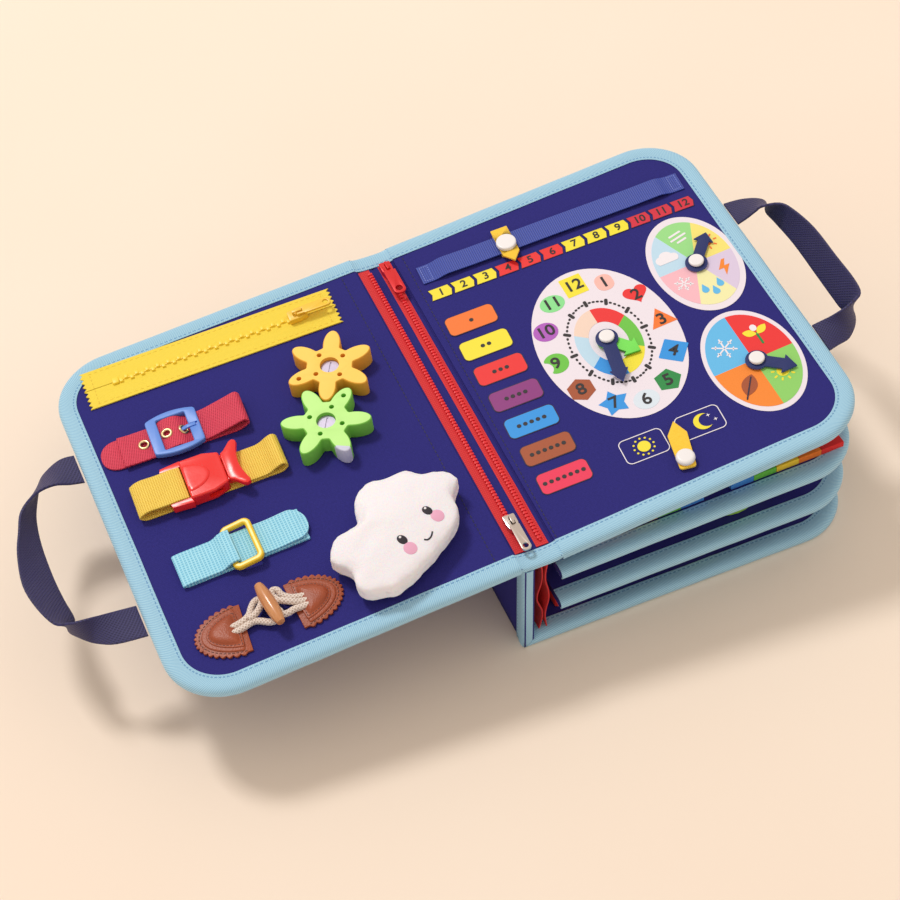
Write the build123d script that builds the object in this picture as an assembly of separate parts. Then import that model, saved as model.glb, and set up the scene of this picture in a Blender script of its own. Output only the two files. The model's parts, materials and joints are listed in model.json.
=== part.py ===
"""Soft activity book: a fabric busy board with four stiffened leaves, two carrying handles,
a page of fasteners on the opened front cover and a calendar-and-clock page beside it.

Frame: millimetres, +Z up, +Y along the spine. The origin is the middle of the back
cover's underside, so the gutter of the opened book runs along X = -BASE_SHIFT.
Every leaf is drawn flat, with x measured from the gutter, z = 0 on its upper cloth, and is
then set on its fold line and tilted.
"""
from build123d import *
from math import cos, pi, radians, sin
import os

# ---------------------------------------------------------------- driving dimensions
WIDTH = 236.0            # gutter to the outer edge of a leaf
DEPTH = 290.0            # length of the spine
CORNER = 40.0            # radius of the outer corners
HINGE = 14.0             # gutter to each fold line
BASE_SHIFT = 118.0       # gutter to the middle of the back cover
CLOTH = 1.6              # each cloth face of a leaf
BOARD = 3.2              # foam board between the faces
TAPE = 0.6               # binding tape
BINDING = 12.5           # width of the tape on a face
LEAF = 2 * CLOTH + BOARD + TAPE
TOP_Z = 88.0             # upper cloth at the two upper fold lines
COVER_DROOP = 5.1        # degrees that the opened cover hangs below level
LEAF_TILT = {1: 6.5, 2: 1.8, 3: 0.8, 4: 0.0}
LEAF_Z = {1: TOP_Z, 2: 67.0, 3: 34.9, 4: LEAF}
GAP = 0.35               # running clearance between moving pieces

SPINE_OUT = -11.8        # outer face of the spine
SPINE_TOP = 82.2
GUTTER_Z = 85.5          # upper cloth of the gutter strip
GUTTER_EDGES = (-12.4, 13.4)

WEB = 1.6                # thickness of nylon webbing
HANDLE_WIDTH = 24.0
HANDLE_THICK = 2.0
HANDLE_GAP = 0.7         # between a handle's end and the edge it is sewn to
HANDLE_LEG = 15.0        # straight stretch of a handle beyond the leaf's edge
HANDLE_BEND = 36.0
HANDLE_TURN = 35.0       # degrees that the middle of a handle stands out of its leaf
COVER_HANDLE = (61.5, -69.5)
PAGE_HANDLE = (56.0, -70.0)

GEAR_TIP = 29.6
GEAR_LOBE = (11.4, 5.8)  # half length and half width of a lobe
GEAR_THICK = 13.0
GEAR_BORE = 6.3
GEAR_LOBES = 6
GEARS = {                # centre, angle of the first lobe, lobe with the small hole
    "yellow_gear": ((-62.3, 52.5), 4.1, 3),
    "green_gear": ((-81.2, 10.4), 37.5, 0),
}

CLOCK_HUB = (111.8, -6.2)
WEATHER_HUB = (194.2, 25.1)
SEASON_HUB = (189.9, -68.8)
DAY_NIGHT_HUB = (112.9, -117.8)
RIVET_SHAFT = 1.7
FELT = 1.6


# ---------------------------------------------------------------- small helpers
def slab(x0, x1, y0, y1, z0, z1):
    return Pos((x0 + x1) / 2, (y0 + y1) / 2, (z0 + z1) / 2) * Box(x1 - x0, y1 - y0, z1 - z0)


def plate(sketch, z0, z1):
    return Pos(0, 0, z0) * extrude(sketch, amount=z1 - z0, dir=(0, 0, 1))


def disc(x, y, radius, z0, z1):
    return Pos(x, y, (z0 + z1) / 2) * Cylinder(radius, z1 - z0)


def button(x, y, radius, z0, z1, rim=1.0):
    """Low round head with a softly rounded rim."""
    head = disc(x, y, radius, z0, z1)
    return fillet(head.edges().sort_by(Axis.Z)[-1:], rim)


def profile_strap(points, width, thickness=WEB, bend=2.0):
    """Webbing seen from the side as a line of (x, z) points, as wide as told along Y."""
    line = FilletPolyline(*[(x, z) for x, z in points], radius=bend)
    face = Plane.XZ * trace(line, thickness)
    return extrude(face, amount=width / 2, both=True)


def turned(shape, x, y, angle):
    """Move a shape drawn about the origin to (x, y) and turn it in its leaf's plane."""
    return Pos(x, y, 0) * Rot(0, 0, angle) * shape


def on_cover(shape):
    fold = Location((-BASE_SHIFT - HINGE, 0, TOP_Z), (0, -COVER_DROOP, 0))
    return fold * Pos(HINGE, 0, 0) * shape


def on_leaf(shape, number=1):
    fold = Location((-BASE_SHIFT + HINGE, 0, LEAF_Z[number]), (0, -LEAF_TILT[number], 0))
    return fold * Pos(-HINGE, 0, 0) * shape


def on_gutter(shape):
    return Pos(-BASE_SHIFT, 0, 0) * shape


def group(*shapes):
    """Separate solids kept side by side in one node."""
    solids = []
    for shape in shapes:
        solids += shape.solids()
    return Compound(children=solids)


NODES = {}


def node(name, *shapes):
    NODES[name] = group(*shapes)


# ---------------------------------------------------------------- leaves, covers and spine
def leaf_outline(inset=0.0, start=HINGE):
    """Leaf from above: square at the fold, rounded at the two outer corners."""
    end, half = WIDTH - inset, DEPTH / 2 - inset
    outline = Pos((start + end) / 2, 0) * Rectangle(end - start, 2 * half)
    return fillet(outline.vertices().sort_by(Axis.X)[-2:], CORNER - inset)


def spine_outline(inset=0.0, height=SPINE_TOP):
    return Pos(height / 2, 0) * Rectangle(height, DEPTH - 2 * inset)


def sandwich(outline):
    """Board, two cloth faces and the folded binding tape of one stiffened panel."""
    under = -2 * CLOTH - BOARD
    board = plate(outline(TAPE), -CLOTH - BOARD, -CLOTH)
    front = plate(outline(TAPE), -CLOTH, 0)
    back = plate(outline(TAPE), under, under + CLOTH) + plate(outline(BINDING), under - TAPE, under)
    binding = plate(outline(0), under - TAPE, TAPE)
    binding -= plate(outline(TAPE), under, 0)
    binding -= plate(outline(BINDING), under - 2 * TAPE, 2 * TAPE)
    return board, (front, back), binding


def add_panel(name, outline, place):
    board, faces, binding = sandwich(outline)
    node(f"{name}_board", place(board))
    node(f"{name}_cloth", *[place(face) for face in faces])
    node(f"{name}_binding", place(binding))


def flipped(outline):
    return lambda inset=0.0: mirror(outline(inset), Plane.YZ)


def add_cover():
    add_panel("cover", flipped(leaf_outline), on_cover)


def add_leaves():
    for number in (1, 2, 3):
        add_panel(f"page_{number}", leaf_outline, lambda shape, n=number: on_leaf(shape, n))


def add_back_and_spine():
    """Back cover and spine, which meet in a mitre along the lower corner."""
    reach = 150.0
    above = Polygon((SPINE_OUT - reach, -reach), (SPINE_OUT + reach, reach),
                    (SPINE_OUT - reach, reach), align=None)
    above = extrude(Plane.XZ * above, amount=DEPTH, both=True)
    board, faces, binding = sandwich(lambda inset=0.0: leaf_outline(inset, SPINE_OUT))
    lift = Pos(0, 0, LEAF)
    node("back_cover_board", on_gutter(lift * board - above))
    node("back_cover_cloth", *[on_gutter(lift * face - above) for face in faces])
    node("back_cover_binding", on_gutter(lift * binding - above))
    board, faces, binding = sandwich(spine_outline)
    upright = Location((SPINE_OUT + TAPE, 0, 0), (0, -90, 0))
    node("spine_panel", *[on_gutter((upright * layer) & above) for layer in (board, *faces)])
    node("spine_binding", on_gutter((upright * binding) & above))


# ---------------------------------------------------------------- gutter strip and its zips
ZIP_HALF = DEPTH / 2 - 13.5
LEFT_TAPE = (-12.2, -4.4)
RIGHT_TAPE = (2.2, 10.4)
LEFT_COIL = -5.3
RIGHT_COIL = 6.4
COIL_PITCH = 4.5
ZIP_TAPE = 0.7
COIL_HEIGHT = 1.9
GUTTER_THICK = 2.6


def coil(x, z):
    """Zip teeth: a cord along the tape's edge with a block for every few teeth."""
    count = int(2 * (ZIP_HALF - 4) / COIL_PITCH)
    cord = slab(x - 0.7, x + 0.7, -ZIP_HALF + 3, ZIP_HALF - 3, z, z + COIL_HEIGHT - 0.5)
    for index in range(count):
        y = (index - (count - 1) / 2) * COIL_PITCH
        cord += slab(x - 1.4, x + 1.4, y - 1.2, y + 1.2, z, z + COIL_HEIGHT)
    return cord


def add_gutter():
    x0, x1 = GUTTER_EDGES
    half = DEPTH / 2
    low = GUTTER_Z - GUTTER_THICK
    strip = slab(x0, x1, -half + TAPE, half - TAPE, low, GUTTER_Z)
    node("gutter_strip", on_gutter(strip))
    ends = []
    for side in (1, -1):
        y0, y1 = sorted((side * half, side * (half - BINDING)))
        ends.append(on_gutter(slab(x0, x1, y0, y1, low - TAPE, GUTTER_Z + TAPE) - strip))
    node("gutter_binding", *ends)
    for name, tape, coil_x in (("gutter_zip_left", LEFT_TAPE, LEFT_COIL),
                               ("gutter_zip_right", RIGHT_TAPE, RIGHT_COIL)):
        band = slab(*tape, -ZIP_HALF + 1.2, ZIP_HALF - 1.2, GUTTER_Z, GUTTER_Z + ZIP_TAPE)
        node(name, on_gutter(band), on_gutter(coil(coil_x, GUTTER_Z + ZIP_TAPE)))


def add_leaf_zip_tapes():
    """Red tapes that hang inside the spine and carry the inner leaves."""
    tapes = []
    for x, sway in ((1.5, 2.6), (7.0, -2.2)):
        points = [(x, 8.4), (x + sway, 24), (x - sway, 42), (x + sway, 60), (x, 82.0)]
        line = FilletPolyline(*points, radius=9)
        face = Plane.XZ * trace(line, 1.0)
        tapes.append(on_gutter(extrude(face, amount=DEPTH / 2 - 6, both=True)))
    node("leaf_zip_tapes", *tapes)


# ---------------------------------------------------------------- zip sliders and pulls
PULL_AXIS = 1.6          # height of a pull's pin above its slider


def slider_body(width, length, tunnel_width, tunnel_height, height):
    """Zip slider drawn over its coil: a shield with a tunnel below and a bridge on top."""
    half, waist, end = width / 2, -length * 0.1, length / 2
    shield = Polygon((-half, end), (-half, waist), (-0.7 * half, -end),
                     (0.7 * half, -end), (half, waist), (half, end), align=None)
    shield = fillet(shield.vertices(), 0.9)
    body = plate(shield, 0, height)
    body -= slab(-tunnel_width / 2, tunnel_width / 2, -length, length, -1, tunnel_height)
    arch = slab(-0.9, 0.9, -3.4, 3.4, height, height + 3.4)
    arch -= slab(-2, 2, -2.2, 2.2, height + 0.3, height + 2.6)
    return body + arch


def pull_plate(length, width, hole, height):
    """Zip pull drawn lying along -Y: a pin under the bridge, two arms and a tab."""
    z = height + PULL_AXIS
    thick = 1.5
    pin = Pos(0, 0, z) * Rot(0, 90, 0) * Cylinder(0.75, 5.6)
    eye = slab(-2.8, 2.8, -5.6, 0, z - thick / 2, z + thick / 2)
    eye -= slab(-1.5, 1.5, -3.9, 1, z - thick, z + thick)
    tab = Pos(0, -(4.6 + length) / 2) * Rectangle(width, length - 4.6)
    tab = fillet(tab.vertices().sort_by(Axis.Y)[:2], width * 0.42)
    tab -= Pos(0, -length + width * 0.55) * Circle(hole)
    return pin + eye + plate(tab, z - thick / 2, z + thick / 2)


SLIDER_TALL = 4.2
GUTTER_SLIDERS = {       # x, y, length and width of the pull
    "red": (RIGHT_COIL, 124.0, 27.0, 8.4),
    "silver": (LEFT_COIL, -110.5, 25.0, 6.4),
}


def add_gutter_sliders():
    base = GUTTER_Z + ZIP_TAPE + GAP
    for name, (x, y, length, width) in GUTTER_SLIDERS.items():
        body = slider_body(8.0, 12.0, 3.6, COIL_HEIGHT, SLIDER_TALL)
        pull = pull_plate(length, width, width * 0.3, SLIDER_TALL)
        place = Pos(x, y, base)
        node(f"{name}_slider", on_gutter(place * body))
        node(f"{name}_pull", on_gutter(place * pull))


# ---------------------------------------------------------------- cover: yellow zip
YELLOW_ZIP = (-126.0, 114.0, -2.6)
YELLOW_LENGTH = 178.0
YELLOW_WIDTH = 32.5
PINKS = 4                # points cut along each tape end
TOOTH_PITCH = 3.7
YELLOW_TALL = 1.0


def pinked_tape(sign):
    """Half of the zip's tape; its two ends are cut to a zigzag."""
    half = YELLOW_LENGTH / 2
    inner, outer = 0.25, YELLOW_WIDTH / 2
    step = (outer - inner) / (2 * PINKS)
    right = [(half - (2.2 if index % 2 else 0.0), inner + index * step) for index in range(2 * PINKS + 1)]
    left = [(-x, y) for x, y in reversed(right)]
    corners = [(x, sign * y) for x, y in right + left]
    return plate(make_face(Polyline(*corners, close=True)), 0, YELLOW_TALL)


YELLOW_SLIDER = 62.0     # slider's place along the zip


def add_yellow_zip():
    x, y, turn = YELLOW_ZIP
    place = lambda shape: on_cover(turned(shape, x, y, turn))
    stitch_gap = slab(-YELLOW_LENGTH, -68.5, -0.6, 0.6, -1, 3)
    sewn = [place(pinked_tape(sign) - stitch_gap) - NODES["cover_binding"] for sign in (1, -1)]
    node("yellow_zip_tapes", *sewn)
    first, last = -65.0, 61.0
    count = int((last - first) / TOOTH_PITCH)
    teeth = [place(slab(-69.5, first, -2.6, 2.6, YELLOW_TALL, YELLOW_TALL + 1.9))]
    for index in range(count):
        tooth_x = first + 0.8 + index * TOOTH_PITCH
        side = 0.7 if index % 2 else -0.7
        tooth = slab(tooth_x, tooth_x + TOOTH_PITCH - 1.4, side - 1.5, side + 1.5,
                     YELLOW_TALL, YELLOW_TALL + 1.5)
        teeth.append(place(tooth))
    node("yellow_zip_teeth", *teeth)
    lift = YELLOW_TALL + GAP
    riding = lambda shape: place(Pos(YELLOW_SLIDER, 0, lift) * Rot(0, 0, 90) * shape)
    node("yellow_slider", riding(slider_body(8.6, 13.0, 5.0, 1.6, SLIDER_TALL)))
    node("yellow_pull", riding(pull_plate(24.0, 6.6, 2.0, SLIDER_TALL)))


# ---------------------------------------------------------------- cover: belt and buckle
BELT = (-171.5, 54.0, -3.2)
BELT_WIDTH = 25.0
BUCKLE = (34.0, 35.0)    # outer size of the frame
BUCKLE_BAR = 7.2
BUCKLE_Z = (3.7, 7.3)
CENTRE_BAR = (-1.4, 3.6, 0.9)
EYELETS = (-21.5, -5.6)
EYELET_HOLE = 2.1
STRAP_LOW = 1.5 * WEB + 0.06   # middle of the upper webbing where it lies flat
STRAP_HUMP = 6.6         # and where it climbs over the buckle's centre bar


def on_belt(shape):
    return on_cover(turned(shape, *BELT))


def add_belt():
    tab = Pos(-27.5, 1.0) * Rectangle(46.0, BELT_WIDTH - 1)
    tab = fillet(tab.vertices().sort_by(Axis.X)[:2], 11.0)
    node("belt_tab", on_belt(plate(tab, 0, WEB)))
    half = WEB / 2
    path = [(-36.5, STRAP_LOW), (-8.9, STRAP_LOW), (-5.4, STRAP_HUMP), (2.4, STRAP_HUMP),
            (6.8, STRAP_LOW), (20.0, STRAP_LOW), (45.2, 8.6), (46.8, 4.2), (41.0, half), (-3.0, half)]
    strap = profile_strap(path, BELT_WIDTH, bend=1.4)
    for x in EYELETS:
        strap -= disc(x, 0, EYELET_HOLE + 0.9, WEB + 0.03, 12)
    strap -= slab(-0.4, 9.2, -2.4, 2.4, WEB + 0.03, 12)
    node("belt_strap", on_belt(strap))
    rings = []
    for x, top in zip(EYELETS, (STRAP_LOW + half, STRAP_HUMP + half)):
        ring = disc(x, 0, EYELET_HOLE + 1.9, top, top + 0.5)
        ring += disc(x, 0, EYELET_HOLE + 0.85, top - WEB + 0.1, top)
        rings.append(on_belt(ring - disc(x, 0, EYELET_HOLE, 0, 12)))
    node("belt_eyelets", *rings)


def buckle_ring():
    """Buckle from above: straight side bars, end rails bowed outwards, square window."""
    width, height = BUCKLE
    bow = 3.4
    right, left = width / 2, -width / 2
    y = height / 2 - bow
    outline = Line((right, -y), (right, y)) + ThreePointArc((right, y), (0, y + bow), (left, y))
    outline += Line((left, y), (left, -y)) + ThreePointArc((left, -y), (0, -y - bow), (right, -y))
    ring = make_face(outline)
    ring = fillet(ring.vertices(), 2.6)
    window = Rectangle(width - 2 * BUCKLE_BAR, BELT_WIDTH + 0.8)
    return ring - fillet(window.vertices(), 1.0)


def add_buckle():
    """Frame over the strap with a hidden centre bar, which the short tongue turns on."""
    x, z, radius = CENTRE_BAR
    frame = plate(buckle_ring(), *BUCKLE_Z)
    frame = chamfer(frame.faces().sort_by(Axis.Z)[-1].edges(), 0.5)
    frame += Pos(x, 0, z) * Rot(90, 0, 0) * Cylinder(radius, BELT_WIDTH + 4.0)
    frame -= slab(8.0, 15.6, -1.8, 1.8, BUCKLE_Z[1] - 1.2, BUCKLE_Z[1] + 1)
    node("buckle_frame", on_belt(frame))
    eye = Pos(x, 0, z) * Rot(90, 0, 0) * (Cylinder(radius + 0.95, 2.6) - Cylinder(radius + GAP, 4.0))
    line = FilletPolyline((x + 1.5, z + 0.2), (8.6, 6.9), (14.2, 7.1), radius=4.0)
    blade = extrude(Plane.XZ * trace(line, 1.3), amount=1.3, both=True)
    node("buckle_tongue", on_belt(eye + blade))


# ---------------------------------------------------------------- cover: side-release clip
CLIP = (-165.0, 9.5, -2.7)
CLIP_WIDTH = 26.0        # webbing of the clip
SOCKET = (-14.0, 12.0, 16.0)   # left end, mouth and half width of the socket
CLIP_Z = (2.1, 11.0)


def on_clip(shape):
    return on_cover(turned(shape, *CLIP))


def add_clip_webbing():
    half = WEB / 2
    path = [(-19.0, 8.6), (-44.0, 8.6), (-48.8, 4.6), (-45.0, half), (47.0, half), (51.0, 4.6),
            (48.5, 8.6), (41.6, STRAP_LOW + 0.1), (27.0, STRAP_LOW + 0.1)]
    node("clip_webbing", on_clip(profile_strap(path, CLIP_WIDTH, bend=1.6)))


def add_clip_socket():
    """Hollow half of the clip: open mouth, a window in each side and two webbing prongs."""
    left, mouth, half = SOCKET
    low, high = CLIP_Z
    outline = Polygon((left, -half), (left + 16, -half), (mouth, -half + 3.4), (mouth, half - 3.4),
                      (left + 16, half), (left, half), align=None)
    body = plate(fillet(outline.vertices(), 2.0), low, high)
    body = fillet(body.faces().sort_by(Axis.Z)[-1].edges(), 1.4)
    ridge = Pos(left + 1.0, 0) * Ellipse(15.0, 7.2)
    ridge &= slab(left + 0.6, mouth, -half, half, -1, 1)
    body += extrude(Pos(0, 0, high - 0.5) * ridge.faces()[0], amount=1.1, taper=20)
    body -= slab(left + 3.5, mouth + 1, -half + 3.6, half - 3.6, low + 1.5, high - 1.7)
    for side in (1, -1):
        window = Pos(3.2, side * half) * SlotOverall(11.5, 8.4)
        body -= plate(window, low + 2.0, high - 2.2)
    arm = Polygon((left - 13.5, 13.6), (left - 12.5, 16.4), (left + 1, 17.6), (left + 1, 13.2),
                  align=None)
    for side in (1, -1):
        wing = plate(arm if side > 0 else mirror(arm, Plane.XZ), low + 0.6, high - 2.6)
        body += wing
    body += Pos(left - 9.0, 0, low + 3.0) * Rot(90, 0, 0) * Cylinder(1.7, 2 * 14.6)
    node("clip_socket", on_clip(body))


def add_clip_plug():
    """Pronged half: a guide and two sprung arms, behind them the flared webbing bar."""
    low, high = CLIP_Z
    mouth, half = SOCKET[1:]
    waist = [(mouth + GAP, 9.8), (mouth + 4.0, 9.4), (mouth + 9.0, 13.2), (mouth + 13.0, 18.2)]
    outline = Polygon(*waist, *[(x, -y) for x, y in reversed(waist)], align=None)
    outline = fillet(outline.vertices(), 1.1)
    outline -= Pos(mouth + 9.5, 0) * RectangleRounded(3.0, 22.0, 1.2)
    plug = plate(outline, low + 1.8, high - 0.6)
    plug = fillet(plug.faces().sort_by(Axis.Z)[-1].outer_wire().edges(), 0.9)
    z0, z1 = low + 1.5 + GAP, high - 1.7 - GAP
    plug += slab(-5.0, mouth + 2, -1.5, 1.5, z0 + 0.6, z1)
    for side in (1, -1):
        y = side * 9.2
        plug += slab(-3.0, mouth + 2, y - 1.5, y + 1.5, z0 + 0.6, z1)
        head = Pos(2.8, side * 9.7) * SlotOverall(11.0, 5.0)
        plug += plate(head, z0 + 0.6, z1)
    node("clip_plug", on_clip(plug))


# ---------------------------------------------------------------- cover: loop strap and ring
LOOP = (-163.0, -49.8, -0.6)
LOOP_WIDTH = 25.0
RING_BAR = 4.0
RING_LEFT = (-8.0, 4.1)  # hidden bar: x along the strap and height
RING_REACH = 17.0


def on_loop(shape):
    return on_cover(turned(shape, *LOOP))


def add_loop_strap():
    half = WEB / 2
    folded = [(41.0, half), (-39.0, half), (-43.2, STRAP_LOW * 0.8), (-39.0, STRAP_LOW + 0.1),
              (-15.0, STRAP_LOW + 0.1), (-11.0, RING_LEFT[1] + 3.2), (-5.6, RING_LEFT[1] + 3.2)]
    line = FilletPolyline(*folded, radius=[2.2, 0.8, 0.8, 1.4, 1.4])
    base = extrude(Plane.XZ * trace(line, WEB), amount=LOOP_WIDTH / 2, both=True)
    tongue = Pos(19.5, 0.4) * Rectangle(48.0, LOOP_WIDTH - 1)
    tongue = fillet(tongue.vertices().sort_by(Axis.X)[-2:], 10.5)
    node("loop_strap", on_loop(base), on_loop(plate(tongue, WEB + 0.05, 2 * WEB)))


def add_strap_ring():
    """Moulded ring: its left bar lies in the fold of the strap, its right bar on the tongue."""
    inner_y = LOOP_WIDTH + 1.6
    ring = RectangleRounded(RING_REACH + RING_BAR, inner_y + 2 * RING_BAR, 5.0)
    ring -= RectangleRounded(RING_REACH - RING_BAR, inner_y, 1.6)
    ring = Pos(RING_REACH / 2, 0, -RING_BAR / 2) * extrude(ring, amount=RING_BAR)
    ring = fillet(ring.edges().filter_by(GeomType.LINE).filter_by(Axis.Z, reverse=True), 1.4)
    tilt = Location((RING_LEFT[0], 0, RING_LEFT[1]), (0, -7.5, 0))
    node("strap_ring", on_loop(tilt * ring))


# ---------------------------------------------------------------- cover: toggle closure
TOGGLE = (-163.0, -103.0)
TOGGLE_BAR = (32.0, 9.0, 10.4)    # length, diameter, height of its middle
PATCHES = ((-187.2, -106.0, 188.0), (-146.0, -106.0, 5.0))   # straight edge and turn
CORD = 3.6
PATCH_HALF = 17.5
PATCH_DEEP = 27.0
SCALLOPS = 15


def leather_patch():
    """Scalloped base and the stitched dome on it, drawn with the straight edge on x = 0."""
    base = Ellipse(PATCH_DEEP, PATCH_HALF) & Pos(PATCH_DEEP, 0) * Rectangle(2 * PATCH_DEEP, 99)
    base += Pos(-3.0, 0) * Rectangle(8.0, 2 * PATCH_HALF)
    for index in range(SCALLOPS):
        angle = pi * (index / (SCALLOPS - 1) - 0.5)
        base += Pos(PATCH_DEEP * cos(angle), PATCH_HALF * sin(angle)) * Circle(2.5)
    dome = Ellipse(20.0, 14.2) & Pos(20, 0) * Rectangle(40, 99)
    low = plate(base, 0, 1.6)
    return low + extrude(Pos(0, 0, 1.6) * dome.faces()[0], amount=3.0, taper=32)


def add_toggle():
    patches = [on_cover(turned(leather_patch(), x, y, turn)) for x, y, turn in PATCHES]
    node("toggle_patches", *patches)
    x, y = TOGGLE
    length, thick, z = TOGGLE_BAR
    low = CORD / 2 + 1.7
    ends = (y + 4.3, y - 4.3)
    loop = Line((PATCHES[0][0] + 0.4, ends[0], low), (x + 4.0, ends[0], low))
    loop += ThreePointArc((x + 4.0, ends[0], low), (x + 8.3, y, low), (x + 4.0, ends[1], low))
    loop += Line((x + 4.0, ends[1], low), (PATCHES[0][0] + 0.4, ends[1], low))
    cord = sweep(Plane(loop @ 0, z_dir=loop % 0) * Circle(CORD / 2), path=loop)
    cords = [on_cover(cord)]
    for side in (1, -1):
        start = Vector(PATCHES[1][0] - 1.4, y + side * 4.2, low + 0.4)
        end = Vector(x + thick - 0.6, y + side * 2.2, z + 0.3)    # clear of the swung bar
        strand = Plane(start, z_dir=end - start) * Circle(CORD / 2)
        cords.append(on_cover(extrude(strand, amount=(end - start).length)))
    node("toggle_cords", *cords)
    side = Ellipse(length / 2 + 3.5, thick / 2) & Pos(0, thick / 2) * Rectangle(length, thick)
    bar = Pos(x, y, z) * Rot(0, 0, 96) * revolve(side, Axis.X)
    node("toggle_bar", on_cover(bar))


# ---------------------------------------------------------------- cover: gears and cloud
def gear_outline():
    """Six rounded petals on a round hub, with the valleys between them filleted."""
    outline = Circle(15.4)
    for index in range(GEAR_LOBES):
        lobe = Pos(GEAR_TIP - GEAR_LOBE[0], 0) * Ellipse(*GEAR_LOBE)
        outline += Rot(0, 0, index * 360 / GEAR_LOBES) * lobe
    return fillet(outline.vertices(), 1.6)


def add_gears():
    rivets = []
    for name, ((x, y), phase, marked) in GEARS.items():
        gear = gear_outline() - Circle(GEAR_BORE)
        for index in range(4):
            gear -= Rot(0, 0, 12 + 90 * index) * Pos(11.2, 0) * Circle(1.6)
        gear -= Rot(0, 0, marked * 360 / GEAR_LOBES) * Pos(22.3, 0) * Circle(1.6)
        body = plate(gear, 0, GEAR_THICK)
        body = chamfer(body.faces().sort_by(Axis.Z)[-1].outer_wire().edges(), 0.6)
        node(name, on_cover(turned(Pos(0, 0, GAP) * body, x, y, phase)))
        rivet = disc(x, y, 2.6, 0, 9.0) + disc(x, y, GEAR_BORE - GAP, 9.0, 10.4)
        rivet -= Pos(x, y, 10.4) * Rot(0, 0, 60) * Box(8.5, 1.1, 1.2)
        rivets.append(on_cover(rivet))
    node("gear_rivets", *rivets)


CLOUD_PUFFS = (          # x, y, radius, half thickness
    (-74.0, -76.0, 25.0, 13.0),
    (-46.0, -84.0, 21.0, 12.0),
    (-38.5, -76.5, 15.0, 11.0),
    (-66.0, -98.0, 26.0, 13.0),
    (-90.0, -111.0, 22.0, 12.0),
    (-103.0, -93.0, 17.0, 11.0),
)


def add_cloud():
    cloud = None
    for x, y, radius, up in CLOUD_PUFFS:
        side = RectangleRounded(2 * radius, 2 * up, 0.96 * up)
        side &= Pos(radius, 0) * Rectangle(2 * radius, 4 * up)
        puff = Pos(x, y, up) * revolve(Plane.XZ * side, Axis.Z)
        cloud = puff if cloud is None else cloud + puff
    node("plush_cloud", on_cover(cloud))


# ---------------------------------------------------------------- page 1: months and hands
RIBBON = (121.8, 103.6, -2.7)    # middle and slope
RIBBON_LENGTH = 195.0
RIBBON_WIDTH = 16.0
POINTER_X = -34.0        # pointer's place along the ribbon
HAND_LEVEL = {"hour": 1.2, "minute": 1.2 + FELT + GAP, "single": 1.2}


def on_page(shape):
    return on_leaf(shape, 1)


def on_ribbon(shape):
    return on_page(turned(shape, *RIBBON))


def add_months():
    """Grosgrain ribbon sewn at both ends, and the felt pointer whose sleeve slides on it."""
    end = RIBBON_LENGTH / 2
    path = [(-end, 0.5), (-end + 9, 0.5), (-end + 15, 2.7), (end - 15, 2.7), (end - 9, 0.5), (end, 0.5)]
    node("month_ribbon", on_ribbon(profile_strap(path, RIBBON_WIDTH, thickness=1.0, bend=3.0)))
    half, wide = RIBBON_WIDTH / 2 + 0.4, 6.0
    low, high = 0.4, 3.2 + GAP
    back = slab(-wide, wide, -half - 1.4, half + 1.4, low, low + 1.3)
    sides = [slab(-wide, wide, *sorted((side * half, side * (half + 1.4))), low, high) for side in (1, -1)]
    face = Polygon((-wide, 12.6), (-wide, -12.0), (0, -19.4), (wide, -12.0), (wide, 12.6), align=None)
    pointer = back + sides[0] + sides[1] + plate(face, high, high + FELT)
    pointer += button(0, -2.6, 5.6, high + FELT, high + FELT + 2.4)
    node("month_pointer", on_ribbon(Pos(POINTER_X, 0, 0) * pointer))


def hand(length, hub, shaft, head, bore=RIVET_SHAFT + 0.3):
    """Felt arrow drawn along +X about its rivet."""
    neck = length - 12.0
    arrow = Pos(neck / 2, 0) * Rectangle(neck, shaft)
    arrow += Polygon((neck - 0.5, head / 2), (length, 0), (neck - 0.5, -head / 2), align=None)
    arrow += Circle(hub)
    return arrow - Circle(bore)


def add_hands():
    rivets = []
    hands = (            # name, hub, turn, length, hub radius, shaft, head, level
        ("hour_hand", CLOCK_HUB, -42.0, 26.0, 7.0, 6.0, 15.0, "hour"),
        ("minute_hand", CLOCK_HUB, -103.0, 38.5, 7.6, 7.0, 13.0, "minute"),
        ("weather_hand", WEATHER_HUB, 29.0, 24.5, 7.6, 8.0, 13.5, "single"),
        ("season_hand", SEASON_HUB, -48.0, 30.0, 7.6, 8.0, 13.5, "single"),
    )
    for name, (x, y), turn, length, hub, shaft, head, level in hands:
        z = HAND_LEVEL[level]
        shape = plate(hand(length, hub, shaft, head), z, z + FELT)
        node(name, on_page(turned(shape, x, y, turn)))
        if level != "hour":
            top = z + FELT + GAP
            rivets.append(on_page(disc(x, y, RIVET_SHAFT, 0, top) + button(x, y, 5.2, top, top + 2.4)))
    x, y = DAY_NIGHT_HUB
    z = HAND_LEVEL["single"]
    marker = Polygon((-7.0, 5.4), (20.5, 6.4), (31.0, 0), (20.5, -6.4), (-7.0, -5.4), align=None)
    marker = fillet(marker.vertices().sort_by(Axis.X)[:2], 2.0)
    marker -= Circle(RIVET_SHAFT + 0.3)
    node("day_night_pointer", on_page(turned(plate(marker, z, z + FELT), x, y, 78.0)))
    top = z + FELT + GAP
    rivets.append(on_page(disc(x, y, RIVET_SHAFT, 0, top) + button(x, y, 6.3, top, top + 3.4, rim=2.2)))
    node("hand_rivets", *rivets)


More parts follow.
